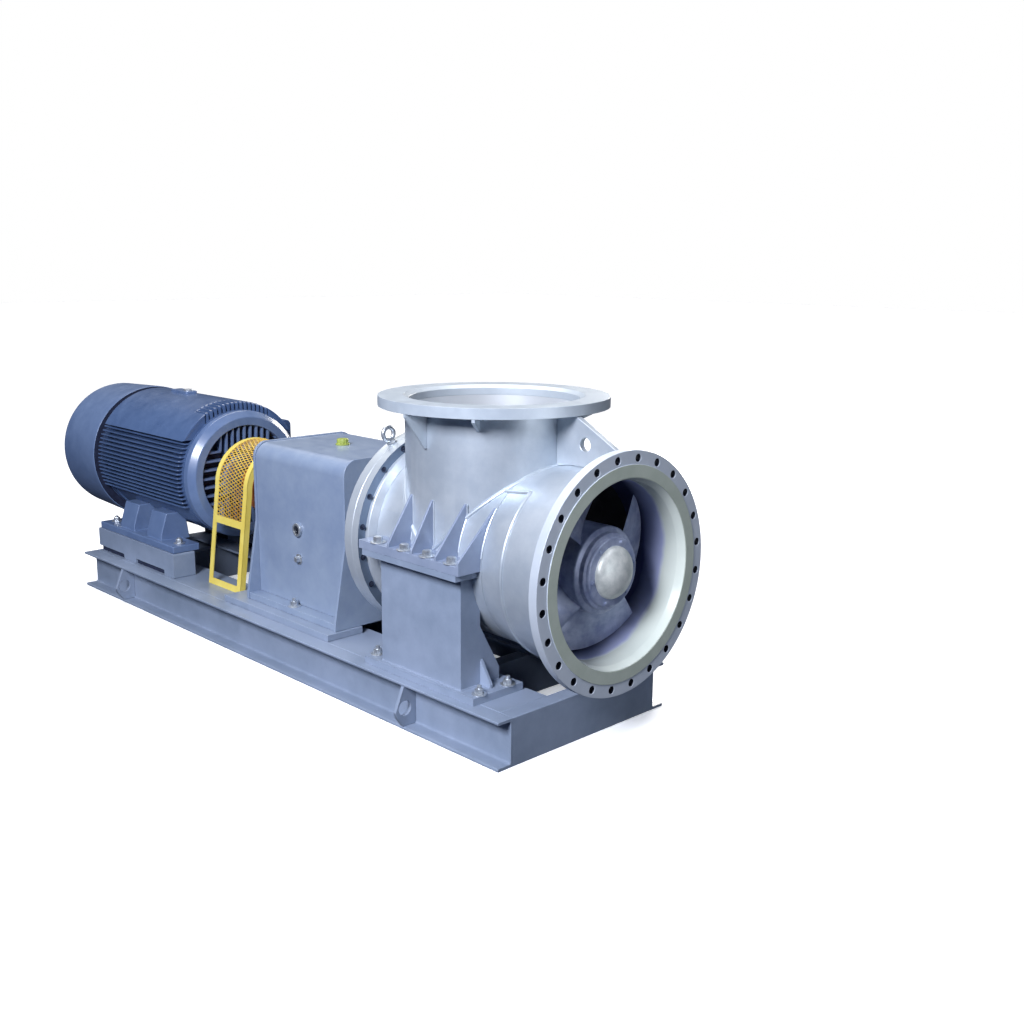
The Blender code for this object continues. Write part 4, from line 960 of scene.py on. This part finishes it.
for word in ("near", "far"):
    low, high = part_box(f"motor_stand_{word}")
    over = low.z + SLOT_HEIGHT
    folded = rounded(
        ((low.x, over), (PAD_REAR, over), (PAD_REAR, low.z), (PAD_FRONT, low.z),
         (PAD_FRONT, over), (SLOT_FRONT, over), (SLOT_FRONT, low.z), (high.x, low.z),
         (high.x, high.z), (low.x, high.z)),
        (0.003,) * 7 + (0.004, 0.012, 0.012),
    )
    add_piece(
        f"motor_stand_{word}_folded", prism(folded, "Y", low.y, high.y, 0.002), frame_paint,
        stands_for=f"motor_stand_{word}",
    )
    # Painted shade: a dark block inside the stand, behind its slots.
    inner = rectangle(low.x + PLATE, high.x - PLATE, low.z + GAP, over + 0.02)
    add_piece(
        f"motor_stand_{word}_hollow", prism(inner, "Y", low.y + PLATE, high.y - PLATE, 0.001),
        hollow,
    )
    # The motor's feet take the paler cowl enamel: painted light.
    softened(f"motor_foot_{word}", cowl_paint, 0.004)
spots = [(behind(d), side * LUG_Y, LUG_TOP) for d in (2.66, 3.34) for side in (-1, 1)]
add_piece("motor_foot_bolts", placed(hexagon_bolt(0.030, 0.2), spots), zinc)


# The motor's casing is cast iron: a barrel with a smooth crown, sixteen cooling fins a side and
# a row of short ribs behind its front ring, all cast in one piece.
MOTOR_Z = 0.684
MOTOR_AXIS = (0, 0, MOTOR_Z)
CROWN_R, BODY_R, FIN_R, ROOT_R = 0.362, 0.318, 0.350, 0.315
CROWN_Z, UNDER_Z, SHOULDER_Y = 0.190, 0.186, 0.180
FRAME_REAR, FRAME_FRONT = behind(3.4297), behind(2.5453)
CROWN_REAR, CROWN_FRONT = behind(3.398), behind(2.655)
# Its section is a crown of 0.362 m radius over a body of 0.318 m, joined by level shoulders.
start, dip = math.asin(CROWN_Z / CROWN_R), math.asin(UNDER_Z / BODY_R)
crown = np.linspace(start, math.pi - start, 61)
under = np.linspace(math.pi - dip, 2 * math.pi + dip, 91)
outline = np.concatenate((
    np.stack((CROWN_R * np.cos(crown), MOTOR_Z + CROWN_R * np.sin(crown)), 1),
    np.stack((BODY_R * np.cos(under), MOTOR_Z + BODY_R * np.sin(under)), 1),
))
motor_shapes = prism(outline, "X", CROWN_REAR, CROWN_FRONT, 0.008)
neck_front, neck_rear = CROWN_FRONT - 0.02, behind(3.38)
neck = ((0, FRAME_REAR), (0.324, FRAME_REAR), (0.324, neck_rear), (0, neck_rear), (0, neck_front),
        (0.322, neck_front), (0.322, FRAME_FRONT), (0, FRAME_FRONT))
motor_shapes += turned(neck, centre=MOTOR_AXIS)
FIN_PITCH, FIN_HALF, FIN_FRONT, FIN_REAR = 0.0208, 0.00375, behind(2.556), behind(3.412)
for number in range(16):
    z = -0.137 + FIN_PITCH * number
    inner, outer = math.sqrt(0.310 ** 2 - z * z), math.sqrt(FIN_R ** 2 - z * z)
    fin_z = MOTOR_Z + z
    for side in (-1, 1):
        fin = rectangle(FIN_REAR, FIN_FRONT, side * inner, side * outer)
        fin = rounded(fin, (0, 0, 0.030, 0.002))
        motor_shapes += prism(fin, "Z", fin_z - FIN_HALF, fin_z + FIN_HALF, 0.0015)
for side in (-1, 1):
    outer_turn = np.linspace(start, math.acos(SHOULDER_Y / CROWN_R), 16)
    inner_turn = np.linspace(math.acos(SHOULDER_Y / ROOT_R), math.asin(CROWN_Z / ROOT_R), 10)
    shoulder = np.concatenate((
        CROWN_R * np.stack((np.cos(outer_turn), np.sin(outer_turn)), 1),
        ROOT_R * np.stack((np.cos(inner_turn), np.sin(inner_turn)), 1),
    ))
    shoulder = shoulder * (side, 1) + (0, MOTOR_Z)
    motor_shapes += prism(shoulder, "X", neck_front, behind(2.553), 0.008)
RIB_HALF, RIB_FRONT, RIB_REAR = 0.0065, behind(2.555), CROWN_FRONT - 0.015
for y in np.arange(-7, 8) * 0.024:
    low = MOTOR_Z + math.sqrt(ROOT_R ** 2 - y * y)
    high = MOTOR_Z + math.sqrt((CROWN_R - 0.001) ** 2 - y * y)
    rib = rounded(rectangle(RIB_REAR, RIB_FRONT, low, high), (0, 0, 0.018, 0))
    motor_shapes += prism(rib, "Y", y - RIB_HALF, y + RIB_HALF, 0.001)
add_piece("motor_barrel", motor_shapes, motor_paint, stands_for="motor_frame")
boss = rounded(rectangle(behind(3.17), behind(3.0), -0.033, 0.033), 0.012)
add_piece(
    "lifting_boss_cast", prism(boss, "Z", 1.040, 1.060, 0.004), cowl_paint,
    stands_for="motor_lifting_boss",
)
plug = ((0, 1.055), (0.024, 1.055), (0.024, 1.064), (0.021, 1.068), (0.010, 1.070), (0, 1.070))
add_piece("lifting_plug", turned(plug, "Z", (behind(3.04), 0, 0)), zinc)


# The drive-end shield is a cast bell with a thick rim, straight ribs inside it and the bearing
# hub in its middle. Cap screws hold it to the barrel.
BELL_FRONT, HUB_FACE, RIB_BACK, OPEN_R = behind(2.480), behind(2.500), behind(2.543), 0.25
bell = ring_profile(
    ((OPEN_R, BELL_FRONT), (OPEN_R, behind(2.540)), (0.32, behind(2.545)), (0.32, behind(2.510)),
     (0.29, BELL_FRONT)),
    (0.004, 0.001, 0.001, 0.008, 0.010),
)
shield = turned(bell, centre=MOTOR_AXIS)
boss = ring_profile(
    ((0.050, HUB_FACE), (0.050, behind(2.540)), (0.13, behind(2.540)), (0.12, HUB_FACE)),
    (0.001, 0.001, 0.002, 0.004),
)
shield += turned(boss)
for pitch, axis, lift, lean in ((0.034, "Y", MOTOR_Z, 0.95), (0.043, "Z", 0, 1.05)):
    for place in np.arange(-4, 5) * pitch:
        inner = max(math.sqrt(max(0.122 ** 2 - place ** 2, 0)), abs(place) * lean)
        outer = math.sqrt(0.253 ** 2 - place ** 2)
        middle = MOTOR_Z - lift + place
        for side in (-1, 1):
            rib = np.array((
                (RIB_BACK, side * inner), (HUB_FACE, side * inner),
                (behind(2.489), side * outer), (RIB_BACK, side * outer),
            ))
            shield += prism(rib + (0, lift), axis, middle - 0.005, middle + 0.005, 0.0015)
add_piece("motor_bell", shield, cowl_paint, stands_for="motor_drive_end_shield")
# The bell's back wall behind its ribs is painted dark: painted shade.
wall_front, wall_rear = behind(2.541), behind(2.5445)
back_wall = ring_profile(
    ((0.050, wall_front), (0.050, wall_rear), (0.30, wall_rear), (0.30, wall_front)), 0
)
add_piece("motor_bell_hollow", turned(back_wall, centre=MOTOR_AXIS), hollow)


# The fan cowl is a deep pressing over the barrel's rear end, its rim flush with the crown. A
# welded grille of rings and spokes closes the air inlet in its back.
COWL_REAR, INLET_R = behind(3.85), 0.285
cowl = ring_profile(
    ((0.362, behind(3.431)), (0.366, behind(3.433)), (0.366, behind(3.46)), (0.352, COWL_REAR),
     (INLET_R, COWL_REAR), (INLET_R, behind(3.835)), (0.345, behind(3.835)),
     (0.362, behind(3.46))),
    (0.001, 0.002, 0.05, 0.045, 0.003, 0.003, 0.04, 0.02),
)
add_piece("cowl_pressing", turned(cowl, centre=MOTOR_AXIS), cowl_paint, stands_for="motor_fan_cowl")
RING_X, RING_WIRE = behind(3.843), 0.0022
grille = []
wire = np.linspace(0, 2 * np.pi, 9)
around = np.linspace(0, 2 * np.pi, 97)
for radius in np.arange(0.030, 0.29, 0.0145):
    profile = np.stack((radius + RING_WIRE * np.cos(wire), RING_X + RING_WIRE * np.sin(wire)), 1)
    grille += turned(profile, centre=MOTOR_AXIS, angles=around)
spoke = np.array((0.02, 0.1, 0.2, 0.288))
for lean in np.radians(np.arange(0, 360, 30)):
    y, z = spoke * math.sin(lean), MOTOR_Z + spoke * math.cos(lean)
    grille += carried(np.stack((np.full(4, behind(3.839)), y, z), 1), 0.003, 6)
add_piece("cowl_grille", grille, cowl_paint)
# A dark solid inside the cowl, behind its grille, is painted shade.
inside = ((0, behind(3.431)), (0.360, behind(3.431)), (0.360, behind(3.46)),
          (0.344, behind(3.78)), (0, behind(3.78)))
add_piece("cowl_inside", turned(inside, centre=MOTOR_AXIS), hollow)


# The terminal box sits on the barrel's far side: a cast iron box with rounded corners and a
# lid screwed on its outer face, both in the motor's enamel.
low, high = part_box("motor_terminal_box")
box_outline = rounded(rectangle(low.y, high.y, low.z, high.z), (0.002, 0.03, 0.04, 0.002), 7)
shapes = prism(box_outline, "X", low.x, high.x, 0.006)
lid = rounded(rectangle(low.x + 0.02, high.x - 0.02, low.z + 0.02, high.z - 0.03), 0.02, 7)
shapes += prism(lid, "Y", high.y - 0.004, high.y + 0.005, 0.002)
add_piece("terminal_box_cast", shapes, motor_paint, stands_for="motor_terminal_box")


low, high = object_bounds()
